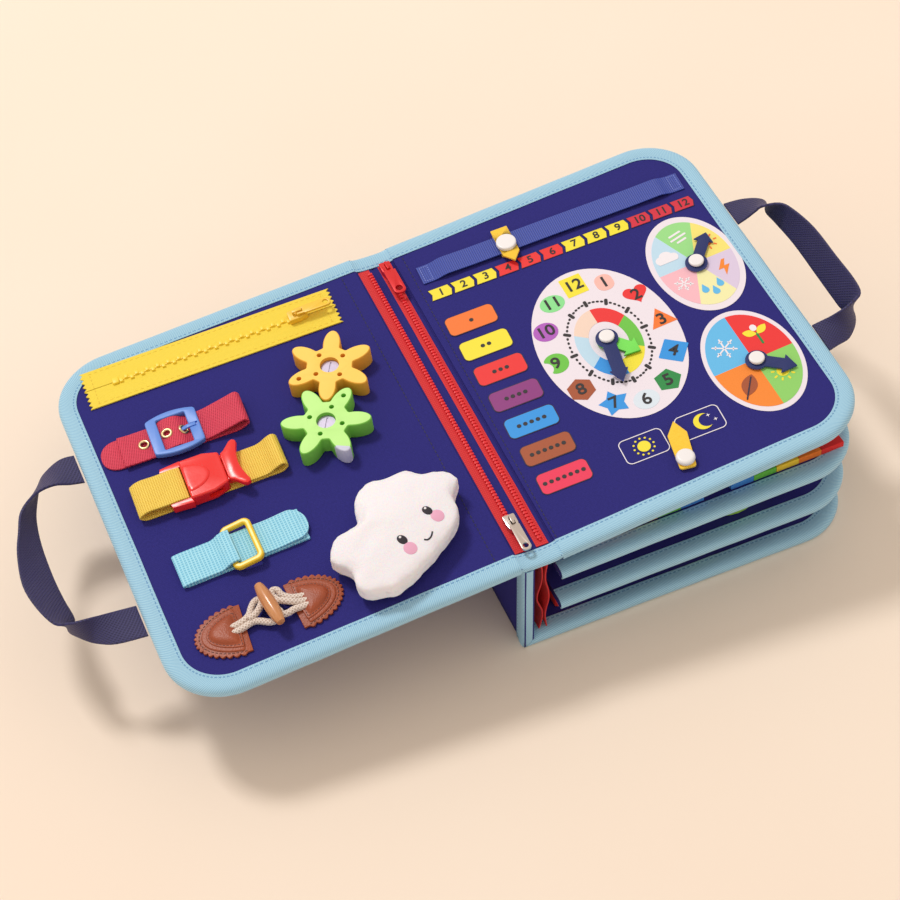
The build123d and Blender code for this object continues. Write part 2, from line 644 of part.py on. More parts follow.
# ---------------------------------------------------------------- carrying handles
def webbing_loop(top, bottom):
    """Handle drawn on the right edge: straight legs, and a middle stretch that is turned
    out of the leaf's plane."""
    start = WIDTH + HANDLE_GAP
    middle_x = start + HANDLE_LEG + HANDLE_BEND
    route = [(start, top, 0.0), (start + HANDLE_LEG, top, 0.0)]
    for step in (1, 2, 3):
        angle = radians(30 * step)
        x = start + HANDLE_LEG + HANDLE_BEND * sin(angle)
        route.append((x, top - HANDLE_BEND * (1 - cos(angle)), step * 30.0))
    route.append((middle_x, (top + bottom) / 2, 90.0))
    mirrored = [(x, top + bottom - y, 180.0 - angle) for x, y, angle in reversed(route[:-1])]
    sections = []
    for x, y, angle in route + mirrored:
        turn = radians(HANDLE_TURN * sin(radians(angle)))
        along = Vector(cos(radians(angle)), -sin(radians(angle)), 0)
        outward = Vector(sin(radians(angle)), cos(radians(angle)), 0)
        across = outward * cos(turn) + Vector(0, 0, 1) * sin(turn)
        plane = Plane((x, y, -LEAF / 2), x_dir=across, z_dir=along)
        sections.append(plane * Rectangle(HANDLE_WIDTH, HANDLE_THICK))
    return loft(sections)


def add_handles():
    node("cover_handle", on_cover(mirror(webbing_loop(*COVER_HANDLE), Plane.YZ)))
    node("page_handle", on_page(webbing_loop(*PAGE_HANDLE)))


# ---------------------------------------------------------------- felt pieces between leaves
def band(x, y, outer, inner, z0, z1):
    """Half ring that stands open towards the front edge."""
    ring = Circle(outer) - Circle(inner) if inner else Circle(outer)
    ring &= Pos(0, outer) * Rectangle(2 * outer, 2 * outer)
    return Pos(x, y, 0) * plate(ring, z0, z1)


def add_felts():
    rainbow = [band(128.0, -127.0, 84.0 - 11 * i, 73.4 - 11 * i, 0.05, 6.0) for i in range(5)]
    bump = [Pos(42.0, -112.0, 0) * plate(Ellipse(17, 13), 0.05, 9.0)]
    leaves = [turned(plate(Ellipse(13, 8), 0.05, 9.0), x, y, 40) for x, y in ((205, -98), (203, -70))]
    node("page_2_felts", *[on_leaf(shape, 2) for shape in rainbow + bump + leaves])
    rings = [disc(150, -104, 24, 0.05, 10.0), disc(196, -96, 21, 0.05, 8.0) - disc(196, -96, 12, -1, 20)]
    node("page_3_felts", *[on_leaf(shape, 3) for shape in rings])
    hoop = disc(120, -108, 22, 0.05, 8.0) - disc(120, -108, 13, -1, 20)
    node("back_cover_felts", on_leaf(hoop, 4), on_leaf(slab(18, 40, -128, -118, 0.05, 9.0), 4))


# ---------------------------------------------------------------- run
def write_parts():
    os.makedirs("parts", exist_ok=True)
    for name, shape in NODES.items():
        export_step(shape, f"parts/{name}.step")


for add in (add_cover, add_leaves, add_back_and_spine, add_gutter, add_leaf_zip_tapes,
            add_gutter_sliders, add_yellow_zip, add_belt, add_buckle, add_clip_webbing,
            add_clip_socket, add_clip_plug, add_loop_strap, add_strap_ring, add_toggle,
            add_gears, add_cloud, add_months, add_hands, add_handles, add_felts):
    add()
write_parts()
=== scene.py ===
"""Dressed model of a soft activity book: cloth leaves bound in tape, opened at its first
spread, with fasteners to practise on the left and a clock and calendar page on the right.

Metres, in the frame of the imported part. A piece that lies on a leaf is drawn flat, with x from
the gutter, y along the spine and z up from the cloth, and is then set on its leaf.
"""

import json
from contextlib import contextmanager
from math import asin, atan2, cos, degrees, hypot, pi, radians, sin

import bpy
from mathutils import Matrix, Vector, noise

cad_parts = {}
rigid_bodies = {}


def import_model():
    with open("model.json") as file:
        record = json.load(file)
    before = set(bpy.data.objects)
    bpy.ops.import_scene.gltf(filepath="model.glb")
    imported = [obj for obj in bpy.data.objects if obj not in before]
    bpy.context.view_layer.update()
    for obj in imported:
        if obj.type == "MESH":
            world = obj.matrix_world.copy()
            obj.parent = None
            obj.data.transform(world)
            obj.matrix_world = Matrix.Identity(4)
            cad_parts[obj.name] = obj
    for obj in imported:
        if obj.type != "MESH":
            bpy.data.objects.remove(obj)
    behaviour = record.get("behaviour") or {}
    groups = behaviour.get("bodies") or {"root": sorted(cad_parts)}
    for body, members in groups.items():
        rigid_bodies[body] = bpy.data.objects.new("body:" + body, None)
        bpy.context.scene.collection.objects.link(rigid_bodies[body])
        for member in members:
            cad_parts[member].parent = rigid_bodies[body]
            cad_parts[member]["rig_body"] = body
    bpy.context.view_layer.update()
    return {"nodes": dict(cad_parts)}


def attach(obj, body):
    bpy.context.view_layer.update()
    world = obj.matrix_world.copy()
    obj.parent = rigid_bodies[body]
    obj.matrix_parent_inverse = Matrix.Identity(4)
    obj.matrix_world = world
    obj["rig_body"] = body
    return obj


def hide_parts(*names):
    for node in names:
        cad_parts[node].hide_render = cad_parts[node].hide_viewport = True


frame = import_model()
MM = 0.001
noise.seed_set(1)        # or else the ripples differ from run to run


# ------------------------------------------------------------------ view, floor and light
# The camera stands in front and to the left, well above the book. One broad lamp behind the
# left shoulder gives soft shadows to the right, and the room's light fills them.
VIEW_AZIMUTH = radians(-24.22)
VIEW_ELEVATION = radians(49.33)
VIEW_DISTANCE = 1.5796
VIEW_TARGET = Vector((-0.0478, 0.0597, 0))
VIEW_LENS = 89.2
VIEW_SHIFT = -1 / 15     # of the frame's width

bpy.ops.object.select_all(action="DESELECT")
bpy.ops.object.camera_add()
camera = bpy.context.object
back = Vector((sin(VIEW_AZIMUTH) * cos(VIEW_ELEVATION), -cos(VIEW_AZIMUTH) * cos(VIEW_ELEVATION),
               sin(VIEW_ELEVATION)))
camera.location = VIEW_TARGET + VIEW_DISTANCE * back
camera.rotation_mode = "QUATERNION"
camera.rotation_quaternion = back.to_track_quat("Z", "Y")
camera.data.lens = VIEW_LENS
camera.data.shift_x = camera.data.shift_y = VIEW_SHIFT
bpy.context.scene.camera = camera
bpy.context.scene.view_settings.view_transform = "Standard"


def colour(hex_code):
    """An sRGB hex colour as linear red, green, blue and alpha."""
    parts = [int(hex_code[i:i + 2], 16) / 255 for i in (1, 3, 5)]
    return [p / 12.92 if p <= 0.04045 else ((p + 0.055) / 1.055) ** 2.4 for p in parts] + [1.0]


def add_node(tree, kind, inputs=None, **settings):
    """Add a node, set its properties, and give each input its value or its link."""
    made = tree.nodes.new(kind)
    for name, value in settings.items():
        setattr(made, name, value)
    for name, value in (inputs or {}).items():
        if isinstance(value, bpy.types.NodeSocket):
            tree.links.new(value, made.inputs[name])
        else:
            made.inputs[name].default_value = value
    return made


def new_material(name, hex_code, roughness, **sockets):
    """A material with its shader's plain values set. Returns it, its tree and its shader."""
    made = bpy.data.materials.new(name)
    made.use_nodes = True
    tree = made.node_tree
    shader = tree.nodes["Principled BSDF"]
    shader.inputs["Base Color"].default_value = colour(hex_code)
    shader.inputs["Roughness"].default_value = roughness
    for key, value in sockets.items():
        shader.inputs[key.replace("_", " ")].default_value = value
    return made, tree, shader


def solid_place(tree):
    """Places in the piece's own solid, in metres."""
    return add_node(tree, "ShaderNodeTexCoord").outputs["Object"]


def cloth_place(tree):
    """Places on the flat cloth before it was bent, in metres."""
    return add_node(tree, "ShaderNodeUVMap").outputs[0]


def turned_place(tree, place, degrees_left, **scale):
    """Places turned, so that a pattern runs at a slant."""
    return add_node(tree, "ShaderNodeMapping", {"Vector": place, "Rotation": (0, 0, radians(degrees_left)),
                                                **scale}).outputs[0]


def wave_scale(pitch):
    """Scale of a wave texture whose bands are that many millimetres apart."""
    return pi / 10 / (pitch * MM)


def bands(tree, place, pitch, axis="X", **more):
    """Threads or ribs across an axis, so many millimetres apart."""
    return add_node(tree, "ShaderNodeTexWave", {"Vector": place, "Scale": wave_scale(pitch), **more},
                    bands_direction=axis).outputs["Fac"]


def mottling(tree, place, scale, **more):
    """Irregular patches."""
    return add_node(tree, "ShaderNodeTexNoise", {"Vector": place, "Scale": scale, **more}).outputs["Fac"]


def worked(tree, operation, *values, **settings):
    """A sum done with outputs and plain values."""
    return add_node(tree, "ShaderNodeMath", dict(enumerate(values)), operation=operation,
                    **settings).outputs[0]


def ranged(tree, value, low, high):
    """An output from 0 to 1 spread from low to high."""
    return add_node(tree, "ShaderNodeMapRange", {"Value": value, "To Min": low, "To Max": high}).outputs[0]


def tinted(tree, share, dark, light):
    """From one colour to another by a share, each colour a hex code or an output."""
    ends = {key: colour(end) if isinstance(end, str) else end for key, end in (("A", dark), ("B", light))}
    return add_node(tree, "ShaderNodeMix", {"Factor": share, **ends}, data_type="RGBA").outputs["Result"]


def surfaced(tree, shader, tone=None, relief=None, strength=0.3, deep=0.3, matt=None):
    """Give a material the outputs for its colour, its relief (so many millimetres deep) and its
    roughness."""
    dip = relief and add_node(tree, "ShaderNodeBump", {"Height": relief, "Strength": strength,
                                                       "Distance": deep * MM}).outputs[0]
    for name, source in (("Base Color", tone), ("Normal", dip), ("Roughness", matt)):
        if source:
            tree.links.new(source, shader.inputs[name])


# Seamless paper: matt, very slightly mottled by its fibres.
paper, tree, shader = new_material("seamless_paper", "#FBE9D8", 0.9)
surfaced(tree, shader, tinted(tree, mottling(tree, solid_place(tree), 3.0), "#FBE8D6", "#FCEEDF"))

bpy.ops.mesh.primitive_plane_add(size=14)
floor = bpy.context.object
floor.name = "floor"
floor.data.materials.append(paper)

world = bpy.data.worlds.new("room")
bpy.context.scene.world = world
world.use_nodes = True
tree = world.node_tree
tree.nodes.clear()
rays = add_node(tree, "ShaderNodeLightPath")
shiny = worked(tree, "MAXIMUM", rays.outputs["Is Glossy Ray"], rays.outputs["Is Transmission Ray"])
seen = worked(tree, "MAXIMUM", rays.outputs["Is Camera Ray"], shiny)
room = add_node(tree, "ShaderNodeBackground", {"Color": colour("#FFF3E6"), "Strength": 0.70})
wall = add_node(tree, "ShaderNodeBackground", {"Color": colour("#FCEADA"), "Strength": 1.0})
both = add_node(tree, "ShaderNodeMixShader", {0: seen, 1: room.outputs[0], 2: wall.outputs[0]})
add_node(tree, "ShaderNodeOutputWorld", {"Surface": both.outputs[0]})

LAMP_FROM = Vector((-0.42, 0.80, 1.40)).normalized()
LAMP_AWAY = 5.0
bpy.ops.object.light_add(type="AREA")
lamp = bpy.context.object
lamp.location = VIEW_TARGET + LAMP_AWAY * LAMP_FROM
lamp.rotation_mode = "QUATERNION"
lamp.rotation_quaternion = LAMP_FROM.to_track_quat("Z", "Y")
lamp.data.size = 0.95
lamp.data.energy = 108
lamp.data.color = (1.0, 0.98, 0.955)


# ------------------------------------------------------------------ leaves
# Each leaf is a foam board between two faces of navy polyester canvas. The faces are cut with
# the board and end under the binding tape. The pile of leaves hangs from fold lines 14 mm
# either side of the gutter.
LEAF_WIDTH = 236.0       # millimetres from here on, until a piece is set on its leaf
DEPTH = 290.0
CORNER = 40.0
HINGE = 14.0
TAPE = 0.6
UNDER = -6.4             # lower cloth, below the upper one
SPINE_OUT = -11.8
GUTTER = Vector((-118 * MM, 0, 0))
LEAVES = {               # fold line from the gutter, height of the cloth there, slope in degrees
    "cover": (-HINGE, 88.0, 5.1),
    "page_1": (HINGE, 88.0, 6.5),
    "page_2": (HINGE, 67.0, 1.8),
    "page_3": (HINGE, 34.9, 0.8),
    "back_cover": (HINGE, 7.0, 0.0),
    "gutter": (0.0, 85.5, 0.0),
}


def on_leaf(leaf, x=0.0, y=0.0, turn=0.0):
    """The place of a piece drawn about (x, y) on a leaf and turned there by some degrees."""
    fold, height, slope = LEAVES[leaf]
    hinge = Matrix.Translation(GUTTER + Vector((fold, 0, height)) * MM)
    hinge = hinge @ Matrix.Rotation(radians(-slope), 4, "Y")
    return hinge @ Matrix.Translation(Vector((x - fold, y, 0)) * MM) @ Matrix.Rotation(radians(turn), 4, "Z")


def pick(*pieces):
    """Leave only these pieces selected, the first one active."""
    bpy.ops.object.select_all(action="DESELECT")
    for piece in pieces:
        piece.select_set(True)
    bpy.context.view_layer.objects.active = pieces[0]


def finish_with(piece, kind, **settings):
    """Give a piece a modifier and apply it."""
    pick(piece)
    made = piece.modifiers.new(kind, kind)
    for name, value in settings.items():
        setattr(made, name, value)
    bpy.ops.object.modifier_apply(modifier=made.name)


@contextmanager
def all_of(piece):
    """Edit a piece with all of it selected."""
    pick(piece)
    bpy.ops.object.mode_set(mode="EDIT")
    bpy.ops.mesh.select_all(action="SELECT")
    yield
    bpy.ops.object.mode_set(mode="OBJECT")


def close_up(piece):
    """Merge what lies together and turn all faces outwards."""
    with all_of(piece):
        bpy.ops.mesh.remove_doubles(threshold=0.00001)
        bpy.ops.mesh.normals_make_consistent(inside=False)


def trimmed(piece, place, away, fill=True):
    """Cut off all that lies past a plane, on the side that it faces."""
    with all_of(piece):
        bpy.ops.mesh.bisect(plane_co=place, plane_no=away, clear_outer=True, use_fill=fill)


def round_off(piece, centre, radius, side, steps, fill=True):
    """Trim a right-hand corner round, the upper one for side 1 and the lower one for side -1."""
    for step in range(1, steps):
        angle = radians(90 * step / steps)
        outward = Vector((cos(angle), side * sin(angle), 0))
        trimmed(piece, centre + outward * radius * MM, outward, fill)


def map_flat(mesh):
    """Cloth map in metres for a piece that was never bent: straight down on each face."""
    layer = mesh.uv_layers.active or mesh.uv_layers.new(name="thread")
    for face in mesh.polygons:
        steep = max(range(3), key=lambda axis: abs(face.normal[axis]))
        u, v = ((1, 2), (0, 2), (0, 1))[steep]
        for corner in face.loop_indices:
            co = mesh.vertices[mesh.loops[corner].vertex_index].co
            layer.data[corner].uv = (co[u], co[v])


def settle(piece, name, body, place, *materials, slot=None, replaces=(), mapped=False, smooth=40):
    """Name a finished piece, map it, give it its materials, set it in place and let it ride."""
    bpy.context.view_layer.update()
    mesh = piece.data
    mesh.transform(piece.matrix_world)
    piece.matrix_world = Matrix.Identity(4)
    if not mapped:
        map_flat(mesh)
    mesh.transform(place)
    piece.name = mesh.name = name
    if materials:
        mesh.materials.clear()
        for material in materials:
            mesh.materials.append(material)
    pick(piece)
    bpy.ops.object.shade_smooth_by_angle(angle=radians(smooth))
    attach(piece, body)
    if replaces:
        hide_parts(*replaces)
    return piece


# Polyester canvas: a matt plain weave. Its 0.5 mm threads are drawn 1.3 mm apart, the least
# that shows, over a soft mottle from the yarn.
CANVAS_THREAD = 1.3
canvas, tree, shader = new_material("navy_polyester_canvas", "#2C2A78", 0.85, Specular_IOR_Level=0.2)
place = cloth_place(tree)
weave = worked(tree, "MULTIPLY", *(bands(tree, place, CANVAS_THREAD, axis, Distortion=1.5, Detail=1.0)
                                   for axis in "XY"))
flecks = tinted(tree, mottling(tree, place, 620.0, Detail=3.0), "#232166", "#34328E")
worn = tinted(tree, mottling(tree, place, 26.0, Detail=2.0), flecks, "#2D2B7A")
surfaced(tree, shader, worn, weave, 0.35)

LEAF_CELL = 7.0          # cloth is divided this finely, so that it can ripple
LEAF_RIPPLE = 0.35       # depth of its ripples
UNDER_TAPE = 2.0         # how far inside the tape's fold the cut edge lies


def flat_sheet(start, end, half, columns, rows):
    """A flat sheet divided into a grid, with x from start to end."""
    bpy.ops.object.select_all(action="DESELECT")
    bpy.ops.mesh.primitive_grid_add(x_subdivisions=columns, y_subdivisions=rows, size=1)
    sheet = bpy.context.object
    sheet.scale = ((end - start) * MM, 2 * half * MM, 1)
    sheet.location.x = (start + end) / 2 * MM
    bpy.ops.object.transform_apply(location=True, scale=True)
    return sheet


def thicken(sheet):
    """Carry a flat sheet down to the leaf's lower cloth."""
    with all_of(sheet):
        bpy.ops.mesh.extrude_region_move(TRANSFORM_OT_translate={"value": (0, 0, UNDER * MM)})
        bpy.ops.mesh.select_all(action="SELECT")
        bpy.ops.mesh.normals_make_consistent(inside=False)


def cloth_pad(start):
    """Both faces of a leaf and the board between, cut to the outline and gently rippled."""
    end, half = LEAF_WIDTH - UNDER_TAPE, DEPTH / 2 - UNDER_TAPE
    pad = flat_sheet(start, end, half, round((end - start) / LEAF_CELL), round(2 * half / LEAF_CELL))
    radius = CORNER - UNDER_TAPE
    for side in (1, -1):
        round_off(pad, Vector((end - radius, side * (half - radius), 0)) * MM, radius, side, 9, fill=False)
    thicken(pad)
    for vertex in pad.data.vertices:
        swell = noise.noise(Vector((vertex.co.x * 22, vertex.co.y * 22, 4.0)))
        vertex.co.z -= (0.5 + 0.5 * swell) * LEAF_RIPPLE * MM if vertex.co.z > -1 * MM else 0
    return pad


def mirrored(piece):
    """Turn a piece drawn for the right-hand side over to the left."""
    piece.data.transform(Matrix.Scale(-1, 4, (1, 0, 0)))
    piece.data.flip_normals()
    return piece


BODY_OF = {"cover": "cover", "page_1": "page_1", "page_2": "page_2", "page_3": "page_3",
           "back_cover": "root"}
for leaf, body in BODY_OF.items():
    pad = cloth_pad(HINGE if leaf != "back_cover" else SPINE_OUT + TAPE)
    if leaf == "cover":
        pad = mirrored(pad)
    settle(pad, f"{leaf}_canvas", body, on_leaf(leaf), canvas, slot="navy_cloth",
           replaces=[f"{leaf}_board", f"{leaf}_cloth"])


# ------------------------------------------------------------------ binding tape
# Twill tape folded over the raw edge and lockstitched near its inner selvedge. The fold is
# full and round, and the stitching draws the tape down into a shallow groove.
EDGE_CELL = 6.0          # length of the tape's divisions


def edge_of_leaf(start):
    """Stations along the leaf's free edge: place, direction inwards, and up."""
    half = DEPTH / 2
    line = [(Vector((start + (LEAF_WIDTH - CORNER - start) * i / 34, -half, 0)), Vector((0, 1, 0)))
            for i in range(34)]
    centre = Vector((LEAF_WIDTH - CORNER, -half + CORNER, 0))
    arc = [Vector((sin(radians(a)), -cos(radians(a)), 0)) for a in range(0, 91, 6)]
    line += [(centre + out * CORNER, -out) for out in arc]
    straight = DEPTH - 2 * CORNER
    count = round(straight / EDGE_CELL)
    line += [(Vector((LEAF_WIDTH, -half + CORNER + straight * i / count, 0)), Vector((-1, 0, 0)))
             for i in range(1, count // 2)]
    line += [(Vector((x, -y, 0)), Vector((nx, -ny, 0))) for (x, y, _), (nx, ny, _) in reversed(line)]
    return [(spot * MM, inward, Vector((0, 0, 1))) for spot, inward in line]


def lay_strip(stations, section, thickness=0.0, offset=0.0):
    """A flat strip laid along stations and folded to a section of (sideways, up) points, with its
    map kept flat, in metres. With no thickness the section is a closed tube."""
    rows, columns = len(stations), len(section)
    bpy.ops.object.select_all(action="DESELECT")
    bpy.ops.mesh.primitive_grid_add(x_subdivisions=rows - 1, y_subdivisions=columns - 1, size=1,
                                    calc_uvs=True)
    strip = bpy.context.object
    lengths, widths = [0.0], [0.0]
    for here, there in zip(stations, stations[1:]):
        lengths.append(lengths[-1] + (there[0] - here[0]).length)
    for here, there in zip(section, section[1:]):
        widths.append(widths[-1] + hypot(there[0] - here[0], there[1] - here[1]) * MM)
    mesh = strip.data
    cells = [(round((v.co.x + 0.5) * (rows - 1)), round((v.co.y + 0.5) * (columns - 1)))
             for v in mesh.vertices]
    for loop in mesh.loops:
        row, column = cells[loop.vertex_index]
        mesh.uv_layers.active.data[loop.index].uv = (lengths[row], widths[column])
    for vertex, (row, column) in zip(mesh.vertices, cells):
        spot, sideways, up = stations[row]
        a, b = section[column]
        vertex.co = spot + (sideways * a + up * b) * MM
    if thickness:
        finish_with(strip, "SOLIDIFY", thickness=thickness * MM, offset=offset, use_even_offset=True)
    else:
        with all_of(strip):
            bpy.ops.mesh.remove_doubles(threshold=0.00001)
            bpy.ops.mesh.fill_holes(sides=0)
    close_up(strip)
    return strip


def ripple(piece, amount, size):
    """Push a soft piece's points about a little, in waves of that size in millimetres."""
    for vertex in piece.data.vertices:
        vertex.co += noise.noise_vector(vertex.co / (size * MM)) * amount * MM


# Polyester twill tape: fine diagonal ribs, a little shine, and a row of stitches 2 mm long. The
# ribs are coloured lighter than the furrows between them, as painted highlight. The 0.4 mm ribs
# are drawn 1.15 mm apart so that they show.
TWILL_PITCH = 1.15
STITCH_PITCH = 3.4
STITCH_ROW = 2.0         # from the inner selvedge
STITCH_WIDE = 0.9
STITCH_SHARE = 0.62      # of the pitch that is thread
TWILL_SLANT = 38
binding_tape, tree, shader = new_material("pale_blue_twill_tape", "#9BCBE6", 0.66, Sheen_Weight=0.06)
place = cloth_place(tree)
rib = bands(tree, turned_place(tree, place, TWILL_SLANT), TWILL_PITCH, Distortion=1.0, Detail=1.0)
split = add_node(tree, "ShaderNodeSeparateXYZ", {0: place})
phase = worked(tree, "FRACT", worked(tree, "MULTIPLY", split.outputs[0], 1 / (STITCH_PITCH * MM)))
aside = worked(tree, "ABSOLUTE", worked(tree, "SUBTRACT", split.outputs[1], STITCH_ROW * MM))
stitch = worked(tree, "MULTIPLY", worked(tree, "LESS_THAN", aside, STITCH_WIDE / 2 * MM),
                worked(tree, "LESS_THAN", phase, STITCH_SHARE))
# The rib mask tints the tape lighter on the ribs and darker between them: painted highlight.
surfaced(tree, shader, tinted(tree, stitch, tinted(tree, rib, "#86BCE0", "#B2DDF1"), "#6C9FCB"), rib, 0.5)

FOLDED_TAPE = (          # inwards from the edge, and up from the cloth
    (12.5, 0.30), (11.8, 0.60), (10.5, 0.38), (9.4, 0.55), (7.0, 1.0), (4.6, 1.05), (2.6, 0.75), (1.2, 0.0),
    (0.35, -1.1), (0.05, -2.2), (0.0, -3.2), (0.05, -4.2), (0.35, -5.2), (1.2, -6.2), (2.6, -6.8),
    (5.0, -7.0), (9.0, -6.95), (12.5, -6.7),
)
for leaf, body in BODY_OF.items():
    start = HINGE if leaf != "back_cover" else SPINE_OUT
    tape = lay_strip(edge_of_leaf(start), FOLDED_TAPE, thickness=TAPE, offset=1)
    ripple(tape, 0.22, 30)
    if leaf == "cover":
        tape = mirrored(tape)
    settle(tape, f"{leaf}_tape", body, on_leaf(leaf), binding_tape, slot="binding_tape",
           replaces=[f"{leaf}_binding"], mapped=True, smooth=60)


# ------------------------------------------------------------------ spine
# A stiffened panel as the leaves are, standing on the back cover's edge. Its cloth and tape are
# mitred into the back cover's along the lower corner.
SPINE_TOP = 82.2
upright = Matrix.Translation(GUTTER + Vector((SPINE_OUT + TAPE, 0, 0)) * MM)
upright = upright @ Matrix.Rotation(radians(-90), 4, "Y")


def joined(pieces):
    """Make one piece of several."""
    pick(*pieces)
    bpy.ops.object.join()
    return pieces[0]


def mitre(piece, keep):
    """Cut a piece along the lower corner of the spine; keep is 1 for the spine's side."""
    trimmed(piece, GUTTER + Vector((SPINE_OUT, 0, 0)) * MM, (keep, 0, -keep))


panel = flat_sheet(0, SPINE_TOP, DEPTH / 2 - TAPE, 11, 40)
thicken(panel)
settle(panel, "spine_canvas", "root", upright, canvas, slot="navy_cloth", replaces=["spine_panel"])
mitre(panel, 1)

ends = []
for side in (-1, 1):
    run = [(Vector((SPINE_TOP * i / 14, side * DEPTH / 2, 0)) * MM, Vector((0, -side, 0)), Vector((0, 0, 1)))
           for i in range(15)]
    tape = lay_strip(run, FOLDED_TAPE, thickness=TAPE, offset=-side)
    ripple(tape, 0.2, 25)
    ends.append(tape)
tape = settle(joined(ends), "spine_tape", "root", upright, binding_tape, slot="binding_tape",
              replaces=["spine_binding"], mapped=True, smooth=60)
mitre(tape, 1)
for name in ("back_cover_canvas", "back_cover_tape"):
    mitre(bpy.data.objects[name], -1)


# ------------------------------------------------------------------ gutter
# The strip of canvas between the two upper leaves. It sags a little between their fold lines,
# and its ends are bound with the same tape.
GUTTER_STRIP = ((-13.9, 2.2), (-13.2, 1.2), (-12.2, 0.2), (-10.0, 0.0), (-5.0, 0.0), (-3.2, -0.5),
                (-1.2, -0.9), (0.6, -0.5), (2.4, 0.0), (6.5, 0.0), (11.0, 0.0), (12.9, 0.4),
                (13.5, 1.2), (13.9, 2.2))
GUTTER_END = ((12.5, 0.4), (11.0, 0.7), (8.0, 0.95), (4.0, 1.0), (1.6, 0.7), (0.3, -0.2), (0.0, -1.3),
              (0.3, -2.4), (1.6, -3.2), (6.0, -3.3), (12.5, -3.1))


def run_along_y(x, y0, y1, z, cell):
    """Stations up the page, with +X sideways."""
    count = max(2, round(abs(y1 - y0) / cell))
    return [(Vector((x, y0 + (y1 - y0) * i / count, z)) * MM, Vector((1, 0, 0)), Vector((0, 0, 1)))
            for i in range(count + 1)]


def run_along_x(x0, x1, y, cell):
    """Stations across the page, with +Y sideways."""
    count = max(2, round(abs(x1 - x0) / cell))
    return [(Vector((x0 + (x1 - x0) * i / count, y, 0)) * MM, Vector((0, 1, 0)), Vector((0, 0, 1)))
            for i in range(count + 1)]


strip = lay_strip(run_along_y(0, -DEPTH / 2 + TAPE, DEPTH / 2 - TAPE, -0.6, 7), GUTTER_STRIP, thickness=1.2)
settle(strip, "gutter_canvas", "root", on_leaf("gutter"), canvas, slot="navy_cloth",
       replaces=["gutter_strip"], mapped=True, smooth=60)

ends = []
for side in (-1, 1):
    run = [(spot, up.cross(Vector((1, 0, 0))) * -side, up)
           for spot, _, up in run_along_x(-14.6, 14.6, side * DEPTH / 2, 2.0)]
    sagging = [(spot + Vector((0, 0, 1.7 * (spot.x / MM / 14) ** 4)) * MM, inward, up)
               for spot, inward, up in run]
    ends.append(lay_strip(sagging, GUTTER_END, thickness=TAPE, offset=-side))
settle(joined(ends), "gutter_tape", "root", on_leaf("gutter"), binding_tape, slot="binding_tape",
       replaces=["gutter_binding"], mapped=True, smooth=60)


# ------------------------------------------------------------------ gutter zip
# Two halves of a coarse moulded zip sewn down the gutter, each with its own slider. The tape
# is woven polyester, and the teeth are square blocks moulded round its inner cord.
ZIP_HALF = 131.5
ZIP_TAPES = {            # edges of the tape and line of its teeth, from the gutter
    "left": (-12.2, -4.4, -5.3),
    "right": (2.2, 10.4, 6.4),
}
ZIP_PITCH = 2.6


def woven_tape(name, dark, light, pitch=1.2):
    """Zip tape: fine lengthwise ribs at that pitch, matt, with a paler highlight on each rib."""
    made, tree, shader = new_material(name, dark, 0.7, Sheen_Weight=0.05)
    place = cloth_place(tree)
    rib_relief_and_painted_light = worked(tree, "MULTIPLY", bands(tree, place, pitch, "Y", Distortion=0.6),
                   bands(tree, place, pitch * 1.3, "X", Distortion=0.6))
    surfaced(tree, shader, tinted(tree, rib_relief_and_painted_light, dark, light), rib_relief_and_painted_light, 0.5)
    return made


def moulded(name, hex_code, roughness, **sockets):
    """Moulded plastic or enamel: glossy, with the faint orange peel that the mould leaves."""
    made, tree, shader = new_material(name, hex_code, roughness, **sockets)
    place = solid_place(tree)
    rough = ranged(tree, mottling(tree, place, 60.0), roughness * 0.8, roughness * 1.25)
    surfaced(tree, shader, None, mottling(tree, place, 350.0), 0.15, 0.2, matt=rough)
    return made


red_zip_tape = woven_tape("red_zip_tape", "#C9161F", "#F03A3C")
red_teeth = moulded("red_acetal_teeth", "#E3222C", 0.35)


def block(x0, x1, y0, y1, z0, z1, bevel=0.25):
    """A small moulded block with softened edges."""
    bpy.ops.object.select_all(action="DESELECT")
    bpy.ops.mesh.primitive_cube_add(size=1, location=Vector((x0 + x1, y0 + y1, z0 + z1)) / 2 * MM,
                                    scale=Vector((x1 - x0, y1 - y0, z1 - z0)) * MM)
    made = bpy.context.object
    bpy.ops.object.transform_apply(location=True, scale=True)
    finish_with(made, "BEVEL", width=bevel * MM, segments=2)
    return made


def row_of(piece, count, step):
    """Repeat a piece along a row."""
    finish_with(piece, "ARRAY", count=count, use_relative_offset=False, use_constant_offset=True,
                constant_offset_displace=Vector(step) * MM)
    return piece


for side, (x0, x1, teeth_x) in ZIP_TAPES.items():
    section = ((x0, 0.25), (x0 + 0.8, 0.45), ((x0 + x1) / 2, 0.5), (x1 - 0.8, 0.5), (x1, 0.35))
    tape = lay_strip(run_along_y(0, -ZIP_HALF, ZIP_HALF, 0, 6), section, thickness=0.5)
    ripple(tape, 0.12, 18)
    settle(tape, f"gutter_zip_tape_{side}", "root", on_leaf("gutter"), red_zip_tape, slot="red_zip",
           replaces=[f"gutter_zip_{side}"], mapped=True, smooth=60)
    count = int(2 * (ZIP_HALF - 4) / ZIP_PITCH)
    first = -ZIP_PITCH * (count - 1) / 2
    tooth = row_of(block(teeth_x - 1.5, teeth_x + 1.5, first - 0.8, first + 0.8, 0.6, 2.4), count,
                   (0, ZIP_PITCH, 0))
    cord = block(teeth_x - 0.8, teeth_x + 0.8, -ZIP_HALF + 3, ZIP_HALF - 3, 0.6, 1.8, bevel=0.4)
    settle(joined([tooth, cord]), f"gutter_teeth_{side}", "root", on_leaf("gutter"), red_teeth,
           slot="red_zip")


